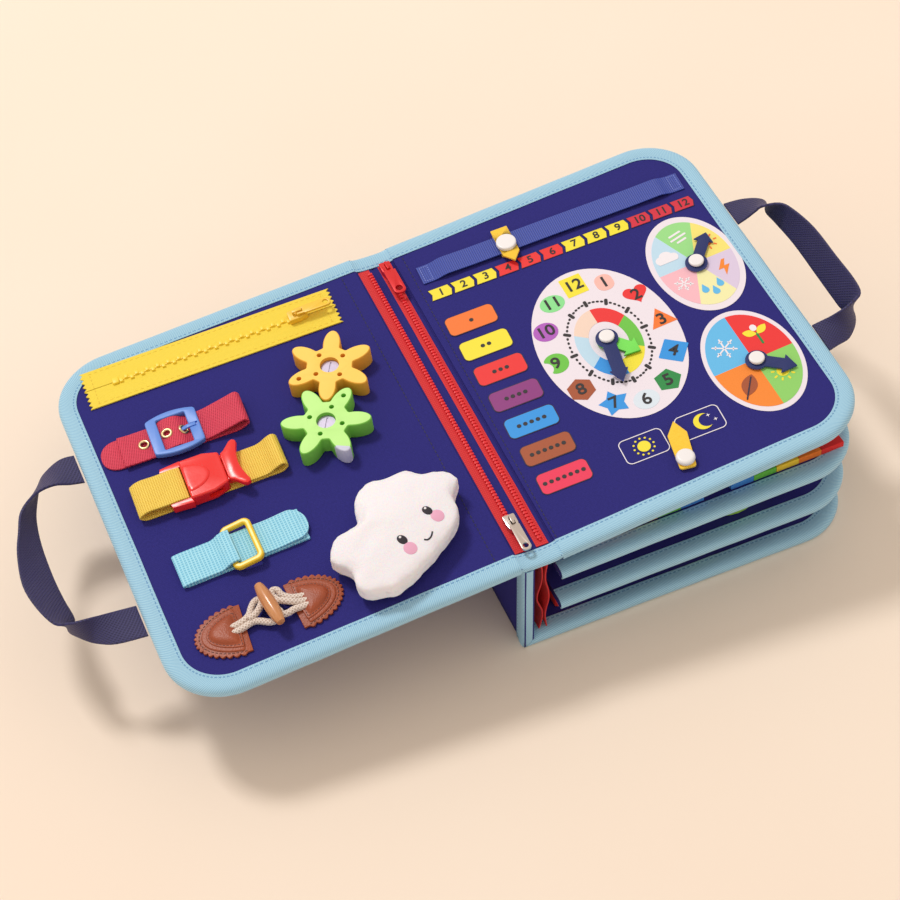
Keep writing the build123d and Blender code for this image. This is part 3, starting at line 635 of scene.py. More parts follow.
# Red tapes that hang inside the spine and carry the inner leaves, crumpled by the fold.
def rounded(points, reach, steps=6):
    """A line through points with each corner rounded off, starting that far before it."""
    points = [Vector(p) for p in points]
    line = [points[0]]
    for before, corner, after in zip(points, points[1:], points[2:]):
        near = min(reach, (corner - before).length * 0.49, (after - corner).length * 0.49)
        start = corner + (before - corner).normalized() * near
        end = corner + (after - corner).normalized() * near
        line += [start.lerp(corner, t / steps).lerp(corner.lerp(end, t / steps), t / steps)
                 for t in range(steps + 1)]
    return line + [points[-1]]


STRAP_CELL = 6.0         # length of a strap's divisions


def fold_stations(points, reach):
    """Stations along a strap seen from the side as (x, z) points; it is as wide along Y."""
    line = rounded([(x, 0, z) for x, z in points], reach)
    spots = [line[0]]
    for there in line[1:]:
        pieces = max(1, round((there - spots[-1]).length / STRAP_CELL))
        start = spots[-1]
        if (there - start).length > 1e-4:
            spots += [start.lerp(there, (i + 1) / pieces) for i in range(pieces)]
    stations = []
    for index, spot in enumerate(spots):
        ahead = (spots[min(index + 1, len(spots) - 1)] - spots[max(index - 1, 0)]).normalized()
        stations.append((spot * MM, Vector((0, 1, 0)), Vector((-ahead.z, 0, ahead.x))))
    return stations


def across(width, columns):
    """Cross line of a strap: its width in equal parts."""
    return [(width * (i / columns - 0.5), 0.0) for i in range(columns + 1)]


for index, (x, sway) in enumerate(((1.5, 2.6), (7.0, -2.2))):
    line = fold_stations([(x, 8.4), (x + sway, 24), (x - sway, 42), (x + sway, 60), (x, 82)], 9)
    tape = lay_strip(line, across(2 * (DEPTH / 2 - 6), 44), thickness=0.8)
    ripple(tape, 1.2, 20)
    settle(tape, f"inner_zip_tape_{index + 1}", "root", Matrix.Translation(GUTTER), red_zip_tape,
           slot="red_zip", replaces=["leaf_zip_tapes"] if index == 0 else (), mapped=True, smooth=60)


# ------------------------------------------------------------------ carrying handles
# Twill webbing sewn into the binding. It leaves the leaf flat, rolls over at each bend, and
# the stretch that the hand holds leans with its outer edge up.
HANDLE_WIDTH = 24.0
HANDLE_LEVEL = -3.5      # about the middle of the leaf's thickness
HANDLE_ROUTES = {        # middle of the strap, turn and lean of its cross line, share of its width
    "cover": ((-237, 62, -90, 0, 1), (-246, 64, -90, 5, 1), (-256, 64, -90, 25, 1),
              (-266, 60, -105, 35, 1), (-276, 47, -125, 45, 1), (-281, 33, -130, 40, 1),
              (-285, 15, -145, 40, 1), (-287, -10, -160, 35, 1), (-285, -30, -155, 40, 1),
              (-281, -47, -140, 50, 1), (-280, -52, -85, 65, 0.95), (-274, -57, -20, 80, 0.75),
              (-265, -62, 65, 40, 0.7), (-254, -66, 75, 10, 0.9), (-237, -69, 90, 0, 1)),
    "page": ((237, 57, -90, 0, 0.9), (247, 57, -105, 10, 0.9), (256, 56, -120, 25, 0.95),
             (261, 54, -125, 40, 1), (265, 48, -75, 55, 1), (268, 38, -55, 55, 1), (271, 15, -40, 55, 1),
             (271, -15, -35, 55, 1), (271, -38, -30, 55, 1), (270, -51, -45, 60, 1),
             (268, -56, -125, 65, 1), (262, -62, 175, 65, 0.9), (253, -67, 110, 40, 0.8),
             (245, -68, 95, 15, 0.85), (237, -69, 90, 0, 1)),
}


def flowing(points, steps=4):
    """A smooth line through all its points."""
    line = []
    for index in range(len(points) - 1):
        before, start = Vector(points[max(index - 1, 0)]), Vector(points[index])
        end, after = Vector(points[index + 1]), Vector(points[min(index + 2, len(points) - 1)])
        for step in range(steps):
            t = step / steps
            bend = 2 * before - 5 * start + 4 * end - after
            sway = 3 * start - before - 3 * end + after
            line.append(0.5 * (2 * start + (end - before) * t + bend * t ** 2 + sway * t ** 3))
    return line + [Vector(points[-1])]


def webbing(name, dark, light, pitch, slant=0.0):
    """Nylon webbing: ribs in both directions, with painted highlight on the ribs and painted shade
    in the gaps between them, and a soft shine. The real ribs are about 1 mm; the pitch is as
    drawn, so that they show."""
    made, tree, shader = new_material(name, dark, 0.55, Sheen_Weight=0.04, Sheen_Roughness=0.35)
    place = cloth_place(tree)
    turned = turned_place(tree, place, slant)
    rib_relief_and_painted_light = worked(tree, "MAXIMUM", *(bands(tree, turned, size, axis, Distortion=0.8, Detail=1.0)
                                      for axis, size in (("X", pitch), ("Y", pitch * 0.8))))
    lit = ranged(tree, mottling(tree, place, 90.0), 0.75, 1.15)
    share = worked(tree, "MULTIPLY", rib_relief_and_painted_light, lit, use_clamp=True)
    # Ribs are coloured lighter and the gaps darker, by the rib mask: painted highlight and painted shade.
    surfaced(tree, shader, tinted(tree, share, dark, light), rib_relief_and_painted_light, 0.7, 0.5)
    return made


def along_handle(route):
    """Stations of a handle, through both of its edges at each place of its route."""
    edges = []
    for side in (1, -1):
        line = []
        for x, y, turn, lean, share in route:
            reach = side * share * HANDLE_WIDTH / 2
            level = reach * cos(radians(lean))
            line.append((x + level * cos(radians(turn)), y + level * sin(radians(turn)),
                         HANDLE_LEVEL + reach * sin(radians(lean))))
        edges.append(flowing(line))
    middle = [(a + b) / 2 for a, b in zip(*edges)]
    stations = []
    for index, (a, b) in enumerate(zip(*edges)):
        ahead = middle[min(index + 1, len(middle) - 1)] - middle[max(index - 1, 0)]
        stations.append((middle[index] * MM, (a - b) / HANDLE_WIDTH, (a - b).cross(ahead).normalized()))
    return stations


navy_webbing = webbing("navy_nylon_webbing", "#15133A", "#2C2A63", 2.0, slant=35)
for side, leaf in (("cover", "cover"), ("page", "page_1")):
    strap = lay_strip(along_handle(HANDLE_ROUTES[side]), across(HANDLE_WIDTH, 8), thickness=1.7)
    finish_with(strap, "BEVEL", width=0.45 * MM, segments=2)
    settle(strap, f"{side}_webbing_handle", f"{side}_handle", on_leaf(leaf), navy_webbing,
           slot="navy_webbing", replaces=[f"{side}_handle"], mapped=True, smooth=50)


# ------------------------------------------------------------------ yellow zip
# A short coarse zip for practice: cotton tapes pinked at both ends and stitched down along
# their long edges, square moulded teeth, and an enamelled slider.
YELLOW_ZIP = ("cover", -126.0, 114.0, -2.6)
YELLOW_LENGTH = 178.0
YELLOW_WIDTH = 32.5
PINKS = 4


def cut_out(outlines, low, high, bevel=0.0):
    """Cut a flat piece from closed outlines in mm, holes among them, from low to high."""
    line = bpy.data.curves.new("cut", "CURVE")
    line.dimensions = "2D"
    line.fill_mode = "BOTH"
    line.extrude = ((high - low) / 2 - bevel) * MM
    line.bevel_depth = bevel * MM
    line.bevel_resolution = 1
    line.offset = -bevel * MM
    for index, outline in enumerate(outlines):
        spline = line.splines.new("POLY")
        turns_left = sum(a[0] * b[1] - b[0] * a[1] for a, b in zip(outline, outline[1:] + outline[:1])) > 0
        ordered = outline if turns_left == (index == 0) else outline[::-1]
        spline.points.add(len(ordered) - 1)
        for point, (x, y) in zip(spline.points, ordered):
            point.co = (x * MM, y * MM, 0, 1)
        spline.use_cyclic_u = True
    flat = bpy.data.objects.new("cut", line)
    bpy.context.collection.objects.link(flat)
    pick(flat)
    bpy.ops.object.convert(target="MESH")
    flat = bpy.context.object
    flat.data.transform(Matrix.Translation((0, 0, (low + high) / 2 * MM)))
    close_up(flat)
    return flat


def copied(piece):
    """A copy of a piece with its own mesh."""
    twin = piece.copy()
    twin.data = piece.data.copy()
    bpy.context.collection.objects.link(twin)
    return twin


def stitches(points, pitch, length, width=0.7, level=0.2, height=0.5):
    """A row of lockstitches along a line: short rounded threads with gaps between."""
    first = block(-length / 2, length / 2, -width / 2, width / 2, 0, height, bevel=0.2)
    line = [Vector((x, y, 0)) for x, y in points]
    travelled, row, next_at = 0.0, [], pitch / 2
    for here, there in zip(line, line[1:]):
        run = (there - here).length
        while next_at < travelled + run:
            spot = here.lerp(there, (next_at - travelled) / run)
            thread = copied(first)
            thread.data.transform(Matrix.Translation((spot + Vector((0, 0, level))) * MM)
                                  @ Matrix.Rotation(atan2(there.y - here.y, there.x - here.x), 4, "Z"))
            row.append(thread)
            next_at += pitch
        travelled += run
    bpy.data.objects.remove(first)
    return joined(row)


yellow_tape = woven_tape("yellow_cotton_tape", "#F6D838", "#FFEC62", 0.6)
yellow_teeth = moulded("yellow_acetal_teeth", "#FBDC3F", 0.4)
yellow_thread = moulded("yellow_sewing_thread", "#E4BE2A", 0.6)
half_tapes = []
for sign in (1, -1):
    half, step = YELLOW_LENGTH / 2, (YELLOW_WIDTH / 2 - 0.25) / (2 * PINKS)
    right = [(half - (2.3 if i % 2 else 0.0), sign * (0.25 + i * step)) for i in range(2 * PINKS + 1)]
    outline = right + [(-x, y) for x, y in reversed(right)]
    half_tapes.append(cut_out([outline], 0.1, 1.1, bevel=0.2))
settle(joined(half_tapes), "yellow_tapes", "cover", on_leaf(*YELLOW_ZIP), yellow_tape, slot="yellow_zip",
       replaces=["yellow_zip_tapes"])
rows = [stitches([(-84, y), (84, y)], 4.2, 2.4, 0.5, level=0.95, height=0.25) for y in (-13.6, 13.6)]
rows += [stitches([(x, -14), (x, 14)], 3.4, 2.0, 0.5, level=0.95, height=0.25) for x in (-82.0, 82.0)]
settle(joined(rows), "yellow_zip_stitching", "cover", on_leaf(*YELLOW_ZIP), yellow_thread, slot="yellow_zip")
FIRST_TOOTH, LAST_TOOTH, TOOTH_PITCH = -65.0, 61.0, 3.7
pairs = int((LAST_TOOTH - FIRST_TOOTH) / TOOTH_PITCH / 2)
teeth = [row_of(block(FIRST_TOOTH + 0.5 + shift, FIRST_TOOTH + 2.9 + shift, *reach, 1.0, 2.6, 0.25), pairs,
                (2 * TOOTH_PITCH, 0, 0)) for shift, reach in ((0.0, (-2.5, 0.6)), (TOOTH_PITCH, (-0.6, 2.5)))]
teeth.append(block(FIRST_TOOTH, LAST_TOOTH, -0.5, 0.5, 1.0, 1.7, bevel=0.2))
stop = block(-69.5, FIRST_TOOTH, -2.6, 2.6, 1.0, 2.9, bevel=0.6)
settle(joined(teeth + [stop]), "yellow_teeth", "cover", on_leaf(*YELLOW_ZIP), yellow_teeth,
       slot="yellow_teeth", replaces=["yellow_zip_teeth"])


# ------------------------------------------------------------------ sliders and pulls
# Die-cast zinc: the yellow and red ones are enamelled, the third is nickel-plated. Their edges
# are tumbled round before the finish goes on.
def softened(node_name, width, segments):
    """A copy of a CAD piece with its edges rounded."""
    source = frame["nodes"][node_name]
    mesh = source.data.copy()
    made = bpy.data.objects.new(f"{node_name}_soft", mesh)
    bpy.context.collection.objects.link(made)
    pick(made)
    if mesh.has_custom_normals:
        bpy.ops.mesh.customdata_custom_splitnormals_clear()
    with all_of(made):
        bpy.ops.mesh.remove_doubles(threshold=0.000005)
        bpy.ops.mesh.dissolve_limited(angle_limit=radians(1.0))
    finish_with(made, "BEVEL", width=width * MM, segments=segments, limit_method="ANGLE",
                angle_limit=radians(32), harden_normals=False)
    return made


def settle_soft(node_name, name, width, material, slot, smooth=38, segments=2):
    """Round a CAD piece's edges, and let the rounded piece stand for it."""
    made = softened(node_name, width, segments)
    body = frame["nodes"][node_name]["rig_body"]
    return settle(made, name, body, Matrix.Identity(4), material, slot=slot, replaces=[node_name],
                  smooth=smooth)


yellow_enamel = moulded("yellow_enamelled_zinc", "#F4C83C", 0.34)
red_enamel = moulded("red_enamelled_zinc", "#D81F26", 0.3, Metallic=0.2)
nickel = moulded("nickel_plated_zinc", "#C6BFBA", 0.24, Metallic=1.0)
for finish, material, slot in (("yellow", yellow_enamel, "yellow_enamel"), ("red", red_enamel, "red_enamel"),
                               ("silver", nickel, "silver_metal")):
    settle_soft(f"{finish}_slider", f"{finish}_zip_slider", 0.25, material, slot)
    settle_soft(f"{finish}_pull", f"{finish}_zip_pull", 0.3, material, slot)


# ------------------------------------------------------------------ belt and buckle
# Nylon webbing threaded through a moulded blue buckle over a round-ended tab, with brass
# eyelets. Its right end is folded under and stands up off the cloth.
BELT = ("cover", -171.5, 54.0, -3.2)
BELT_WIDTH = 25.0
BELT_PATH = ((-37.2, 3.3), (-30.0, 2.6), (-12.0, 2.6), (-6.6, 6.4), (2.4, 6.7), (7.6, 2.6), (20.0, 2.8),
             (33.0, 6.2), (45.2, 9.8), (47.6, 4.8), (41.0, 0.8), (-3.0, 0.8))
EYELET_HOLE = 2.2        # radius
EYELETS = ((-21.5, 3.55, 0.0), (-5.4, 7.2, -6.0), (6.0, 5.1, 40.0))   # x, height and tilt
WEB = 1.5


def rounded_box(x0, x1, y0, y1, *radii):
    """Outline of a box with its corners rounded, from the lower left one round to the right."""
    corners = ((x0, y0, 180), (x1, y0, 270), (x1, y1, 0), (x0, y1, 90))
    outline = []
    for (x, y, start), radius in zip(corners, radii * (4 if len(radii) == 1 else 1)):
        cx, cy = x + (radius if x == x0 else -radius), y + (radius if y == y0 else -radius)
        outline += [(cx + radius * cos(radians(start + a)), cy + radius * sin(radians(start + a)))
                    for a in range(0, 91, 10)]
    return outline


def pierce(piece, x, z, tilt):
    """Punch a round hole through a strap."""
    bpy.ops.object.select_all(action="DESELECT")
    bpy.ops.mesh.primitive_cylinder_add(vertices=28, radius=EYELET_HOLE * MM, depth=2 * WEB * MM)
    punch = bpy.context.object
    punch.data.transform(Matrix.Translation(Vector((x, 0, z)) * MM) @ Matrix.Rotation(radians(tilt), 4, "Y"))
    finish_with(piece, "BOOLEAN", object=punch, operation="DIFFERENCE", solver="EXACT")
    bpy.data.objects.remove(punch)


raspberry = webbing("raspberry_nylon_webbing", "#B01B3C", "#E8405F", 1.5, slant=20)
belt = lay_strip(fold_stations(BELT_PATH, 5), across(BELT_WIDTH, 10), thickness=WEB)
finish_with(belt, "BEVEL", width=0.4 * MM, segments=2)
for x, z, tilt in EYELETS:
    pierce(belt, x, z, tilt)
settle(belt, "belt_webbing", "cover", on_leaf(*BELT), raspberry, slot="red_webbing", replaces=["belt_strap"],
       mapped=True, smooth=50)
tab = cut_out([rounded_box(-50.5, -4.5, -11.0, 13.0, 11.0, 0.5, 0.5, 11.0)], 0.1, 1.5, bevel=0.35)
settle(tab, "belt_end_tab", "cover", on_leaf(*BELT), raspberry, slot="red_webbing", replaces=["belt_tab"])

# Rolled brass rings: polished, a little tarnished in the groove.
brass = moulded("brass_eyelet", "#C9B48A", 0.26, Metallic=1.0)
rings = []
for x, z, tilt in EYELETS:
    bpy.ops.object.select_all(action="DESELECT")
    bpy.ops.mesh.primitive_torus_add(major_segments=32, minor_segments=10, major_radius=3.0 * MM,
                                     minor_radius=0.95 * MM)
    ring = bpy.context.object
    ring.data.transform(Matrix.Translation(Vector((x, 0, z)) * MM) @ Matrix.Rotation(radians(tilt), 4, "Y")
                        @ Matrix.Scale(0.75, 4, (0, 0, 1)))
    rings.append(ring)
settle(joined(rings), "belt_brass_eyelets", "cover", on_leaf(*BELT), brass, slot="eyelet_metal",
       replaces=["belt_eyelets"])

blue_plastic = moulded("blue_abs_plastic", "#5C8DE6", 0.36)
settle_soft("buckle_frame", "blue_buckle", 0.5, blue_plastic, "blue_plastic")
settle_soft("buckle_tongue", "blue_buckle_tongue", 0.3, blue_plastic, "blue_plastic")


# ------------------------------------------------------------------ side-release clip
# Ribbed webbing folded at both ends, and a glossy moulded clip in two halves on top of it.
CLIP = ("cover", -165.0, 9.5, -2.7)
CLIP_WIDTH = 26.0
CLIP_PATH = ((-14.7, 8.0), (-20.0, 8.8), (-30.0, 8.0), (-43.0, 8.7), (-49.2, 4.8), (-45.0, 0.8), (47.0, 0.8),
             (51.2, 5.0), (48.0, 9.0), (43.8, 7.2), (40.2, 4.5), (36.4, 3.0), (30.0, 2.9), (21.0, 2.9))


def half_oval(deep, half, count, power=1.0, wave=0.0, waves=0):
    """Half an ellipse from x = 0 to its depth, more pointed with a greater power. Waves scallop
    its edge."""
    arc = []
    for i in range(count + 1):
        angle = pi * (i / count - 0.5)
        out = Vector((cos(angle) / deep, sin(angle) / half)).normalized()
        lift = wave * abs(sin(waves * pi * i / count))
        arc.append((deep * abs(cos(angle)) ** power + out.x * lift, half * sin(angle) + out.y * lift))
    return arc


def crowned(outline, low, steps, level=2):
    """A stuffed piece: its outline raised step by step, each a share of its size and a rise."""
    bpy.ops.object.select_all(action="DESELECT")
    bpy.ops.mesh.primitive_circle_add(vertices=len(outline), fill_type="NGON")
    pad = bpy.context.object
    for vertex, (x, y) in zip(pad.data.vertices, outline):
        vertex.co = Vector((x, y, low)) * MM
    centre = Vector((sum(x for x, _ in outline), sum(y for _, y in outline))) / len(outline) * MM
    with all_of(pad):
        size = 1.0
        for share, rise in steps:
            bpy.ops.mesh.extrude_region_move(TRANSFORM_OT_translate={"value": (0, 0, rise * MM)})
            bpy.ops.transform.resize(value=(share / size, share / size, 1), center_override=(*centre, 0))
            size = share
        bpy.ops.mesh.select_all(action="SELECT")
        bpy.ops.mesh.fill_holes(sides=0)
    close_up(pad)
    finish_with(pad, "SUBSURF", levels=level, render_levels=level)
    return pad


SOCKET_LEFT = -14.0      # end of the clip's hollow half
LIP_FROM = 14.4          # from here the other half flares into a lip that arches over the webbing
LIP = [(12.6, 11.0), (15.2, 12.6), (17.8, 15.4), (20.4, 18.2), (22.8, 19.2), (25.0, 18.0), (25.4, 15.6),
       (23.6, 10.5), (22.4, 5.0), (22.0, 0.8)]

yellow_webbing = webbing("yellow_cotton_webbing", "#E3AE26", "#FFE062", 1.5)
strap = lay_strip(fold_stations(CLIP_PATH, 4.5), across(CLIP_WIDTH, 10), thickness=WEB)
finish_with(strap, "BEVEL", width=0.4 * MM, segments=2)
settle(strap, "yellow_clip_webbing", "cover", on_leaf(*CLIP), yellow_webbing, slot="yellow_webbing",
       replaces=["clip_webbing"], mapped=True, smooth=50)
red_plastic = moulded("red_acetal_plastic", "#EE2A28", 0.24)
settle_soft("clip_socket", "red_clip_socket", 0.6, red_plastic, "red_plastic", segments=3)
ridge = crowned(half_oval(16.6, 11.2, 24), 10.6,
                ((1.0, 0.4), (0.97, 0.35), (0.9, 0.3), (0.8, 0.12), (0.6, 0.05)))
ridge.data.transform(Matrix.Translation(Vector((SOCKET_LEFT, 0, 0)) * MM))
settle(ridge, "clip_socket_ridge", frame["nodes"]["clip_socket"]["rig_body"], on_leaf(*CLIP),
       red_plastic, slot="red_plastic")
plug = softened("clip_plug", 0.5, 3)
plug.data.transform(on_leaf(*CLIP).inverted())
trimmed(plug, (LIP_FROM * MM, 0, 0), (1, 0, 0))
lip = cut_out([LIP + [(x, -y) for x, y in reversed(LIP)]], 6.5, 10.7, bevel=1.5)
neck = cut_out([rounded_box(LIP_FROM - 1.5, 21.0, -11.0, 11.0, 1.0, 3.0, 3.0, 1.0)], 3.9, 10.4, bevel=0.9)
settle(joined([plug, lip, neck]), "red_clip_plug", frame["nodes"]["clip_plug"]["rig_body"], on_leaf(*CLIP),
       red_plastic, slot="red_plastic", replaces=["clip_plug"])


# ------------------------------------------------------------------ loop strap and ring
# Coarse cotton webbing: the strap is folded at its left end, lies over itself, and holds a
# moulded ring in the fold of its end. A round-ended tongue is sewn on the right.
LOOP = ("cover", -163.0, -49.8, -0.6)
LOOP_WIDTH = 25.0
LOOP_PATH = ((41.0, 0.8), (-39.0, 0.8), (-43.4, 2.3), (-39.0, 3.0), (-16.0, 2.8), (-11.5, 6.4), (-8.0, 7.7),
             (-4.6, 7.3))
TONGUE_ROUND = 10.5      # radius of its corners
TONGUE_PATH = ((-4.5, 2.5), (2.0, 2.5), (10.0, 2.9), (20.0, 2.5), (30.0, 3.6), (36.0, 3.9), (43.5, 2.6))

sky_webbing = webbing("sky_blue_cotton_webbing", "#66BFE6", "#ABE9FE", 2.2)
base = lay_strip(fold_stations(LOOP_PATH, 3.5), across(LOOP_WIDTH, 10), thickness=WEB)
finish_with(base, "BEVEL", width=0.4 * MM, segments=2)
tongue = lay_strip(fold_stations(TONGUE_PATH, 5), across(LOOP_WIDTH - 1, 10), thickness=WEB)
for side in (-1, 1):
    centre = Vector((TONGUE_PATH[-1][0] - TONGUE_ROUND, side * (LOOP_WIDTH / 2 - 11), 0)) * MM
    round_off(tongue, centre, TONGUE_ROUND, side, 7)
settle(joined([base, tongue]), "sky_blue_strap", "cover", on_leaf(*LOOP), sky_webbing, slot="sky_webbing",
       replaces=["loop_strap"], mapped=True, smooth=50)


def finish_node(node_name, material):
    """Give a CAD piece that stays as it is its real finish."""
    for place in frame["nodes"][node_name].material_slots:
        place.material = material


yellow_plastic = moulded("yellow_abs_plastic", "#F2CB2C", 0.28)
finish_node("strap_ring", yellow_plastic)


# ------------------------------------------------------------------ toggle closure
# Two leather patches with scalloped edges, each with a stuffed dome stitched over the ends of
# a braided cotton cord. One cord makes a loop, and the other is tied to a wooden bar.
PATCHES = ((-184.6, -106.0, 175.0), (-146.4, -105.8, 2.0))
PATCH_DEEP, PATCH_HALF, PATCH_BACK = 27.6, 17.6, 3.4
DOME_DEEP, DOME_HALF = 21.4, 13.8
SCALLOPS = 19
CORD = 4.3
CORD_BEND = 3.2          # where a bend begins, before its corner

leather, tree, shader = new_material("brown_split_leather", "#A0472A", 0.42, Specular_IOR_Level=0.45)
place = solid_place(tree)
grain = add_node(tree, "ShaderNodeTexVoronoi", {"Vector": place, "Scale": 850.0}).outputs["Distance"]
stain = tinted(tree, mottling(tree, place, 70.0, Detail=4.0), "#823616", "#AE5330")
surfaced(tree, shader, stain, grain, 0.35)
brown_thread = moulded("waxed_brown_thread", "#4E1B0D", 0.5)

parts, seams = [], []
for x, y, turn in PATCHES:
    there = Matrix.Translation(Vector((x, y, 0)) * MM) @ Matrix.Rotation(radians(turn), 4, "Z")
    edge = half_oval(PATCH_DEEP, PATCH_HALF, SCALLOPS * 8, wave=1.6, waves=SCALLOPS)
    base = cut_out([[(-PATCH_BACK, -PATCH_HALF)] + edge + [(-PATCH_BACK, PATCH_HALF)]], 0.1, 1.7, bevel=0.35)
    under = crowned(half_oval(DOME_DEEP + 3.2, DOME_HALF + 2.4, 26, 1.25), 1.5,
                    ((1.0, 0.5), (0.97, 0.5), (0.9, 0.1)), level=1)
    rim = half_oval(DOME_DEEP, DOME_HALF, 26, 1.3)
    dome = crowned(rim, 2.3, ((1.0, 0.5), (0.97, 0.4), (0.8, 0.05), (0.74, 0.9), (0.6, 0.8), (0.4, 0.45),
                              (0.2, 0.15)))
    rows = [stitches(half_oval(DOME_DEEP + 4.6, DOME_HALF + 3.0, 26, 1.15), 2.6, 1.7, 0.6, level=1.6,
                     height=0.3)]
    seam = [(1.6 + u * 0.86, v * 0.86) for u, v in rim]
    rows.append(stitches(seam + seam[:1], 2.3, 1.5, 0.6, level=3.0, height=0.35))
    for piece in (base, under, dome, *rows):
        piece.data.transform(there)
    parts += [base, under, dome]
    seams += rows
settle(joined(parts), "leather_patches", "cover", on_leaf("cover"), leather, slot="brown_leather",
       replaces=["toggle_patches"], smooth=45)
settle(joined(seams), "leather_stitching", "cover", on_leaf("cover"), brown_thread, slot="brown_leather")

# Braided cord: eight strands that cross at a slant, 2 mm from crossing to crossing. The strands
# are coloured lighter than the grooves between them, as painted highlight.
braid, tree, shader = new_material("braided_cotton_cord", "#E6D0C2", 0.85, Sheen_Weight=0.3)
place = cloth_place(tree)
strands = worked(tree, "MAXIMUM", *(bands(tree, turned_place(tree, place, slant), 1.7, Distortion=0.5)
                                    for slant in (40, -40)))
# The strand mask tints the raised strands lighter and the grooves darker: painted highlight and painted
# shade.
surfaced(tree, shader, tinted(tree, strands, "#CDB3A2", "#F8EBE2"), strands, 0.8, 0.6)


def cord_along(points):
    """A round cord along points, rounded at its bends."""
    line = rounded(points, CORD_BEND)
    spots = [line[0]] + [b for a, b in zip(line, line[1:]) if (b - a).length > 0.02]
    stations = []
    for index, spot in enumerate(spots):
        ahead = (spots[min(index + 1, len(spots) - 1)] - spots[max(index - 1, 0)]).normalized()
        sideways = ahead.cross(Vector((0, 0.1, 1))).normalized()
        stations.append((spot * MM, sideways, sideways.cross(ahead)))
    ring = [(CORD / 2 * cos(2 * pi * i / 12), CORD / 2 * sin(2 * pi * i / 12)) for i in range(13)]
    return lay_strip(stations, ring)


STRANDS = (              # way points of each strand, on the leaf
    ((-191.6, -103.9, 2.9), (-185.0, -103.4, 3.1), (-180.5, -102.8, 3.6), (-176.5, -100.6, 3.6),
     (-174.0, -96.4, 3.6), (-170.5, -92.6, 3.8), (-166.0, -92.8, 4.4), (-163.0, -95.6, 4.6),
     (-159.0, -97.0, 4.2)),
    ((-191.6, -108.0, 2.9), (-185.0, -107.6, 3.1), (-180.5, -107.0, 3.6), (-175.5, -105.8, 3.6),
     (-171.0, -108.2, 3.6), (-166.4, -112.0, 3.8), (-160.6, -112.2, 4.2), (-158.0, -107.6, 4.4),
     (-161.0, -102.6, 4.4)),
    ((-178.0, -104.2, 5.2), (-173.0, -103.0, 5.4), (-168.6, -99.4, 5.4), (-166.4, -96.0, 5.2),
     (-162.0, -95.8, 4.6)),
    ((-139.4, -102.4, 2.9), (-145.6, -101.6, 3.2), (-150.0, -100.4, 4.2), (-154.0, -96.8, 5.0),
     (-154.8, -93.2, 6.6), (-158.2, -92.2, 7.0), (-159.6, -95.4, 6.2), (-157.2, -99.0, 5.4),
     (-161.0, -101.0, 4.6)),
    ((-139.4, -109.4, 2.9), (-145.6, -109.6, 3.2), (-150.0, -109.4, 4.2), (-155.4, -111.0, 4.6),
     (-159.6, -109.6, 4.8), (-162.0, -106.0, 4.4)),
    ((-139.4, -106.0, 2.9), (-145.6, -106.0, 3.6), (-151.0, -104.4, 6.4), (-156.4, -101.2, 7.0),
     (-161.0, -98.6, 5.4)),
)
settle(joined([cord_along(points) for points in STRANDS]), "cotton_cords", "cover", on_leaf("cover"),
       braid, slot="cotton_cord", replaces=["toggle_cords"], mapped=True, smooth=60)

# Turned beech bar: oiled, with its grain along it.
wood, tree, shader = new_material("oiled_beech", "#D08E52", 0.3, Coat_Weight=0.4, Coat_Roughness=0.12)
along = turned_place(tree, solid_place(tree), 6, Scale=(1.0, 0.09, 1.0))
share = worked(tree, "MULTIPLY", mottling(tree, along, 900.0, Detail=3.0), mottling(tree, along, 260.0))
surfaced(tree, shader, tinted(tree, share, "#B96F38", "#F0BC84"))
settle_soft("toggle_bar", "beech_bar", 1.7, wood, "toggle_wood", segments=5)


# ------------------------------------------------------------------ gears
# Thick gears cut from dense foam, with dimples and a slotted rivet. Their sides are coloured
# deeper than their faces, as painted shade.
def foam(name, hex_code, dark):
    """Dense EVA foam: matt, with closed cells that show as a faint pitting."""
    made, tree, shader = new_material(name, hex_code, 0.62, Specular_IOR_Level=0.35)
    place = solid_place(tree)
    cells = add_node(tree, "ShaderNodeTexVoronoi", {"Vector": place, "Scale": 1100.0}).outputs["Distance"]
    surfaced(tree, shader, tinted(tree, mottling(tree, place, 55.0), dark, hex_code), cells, 0.25, 0.2)
    return made


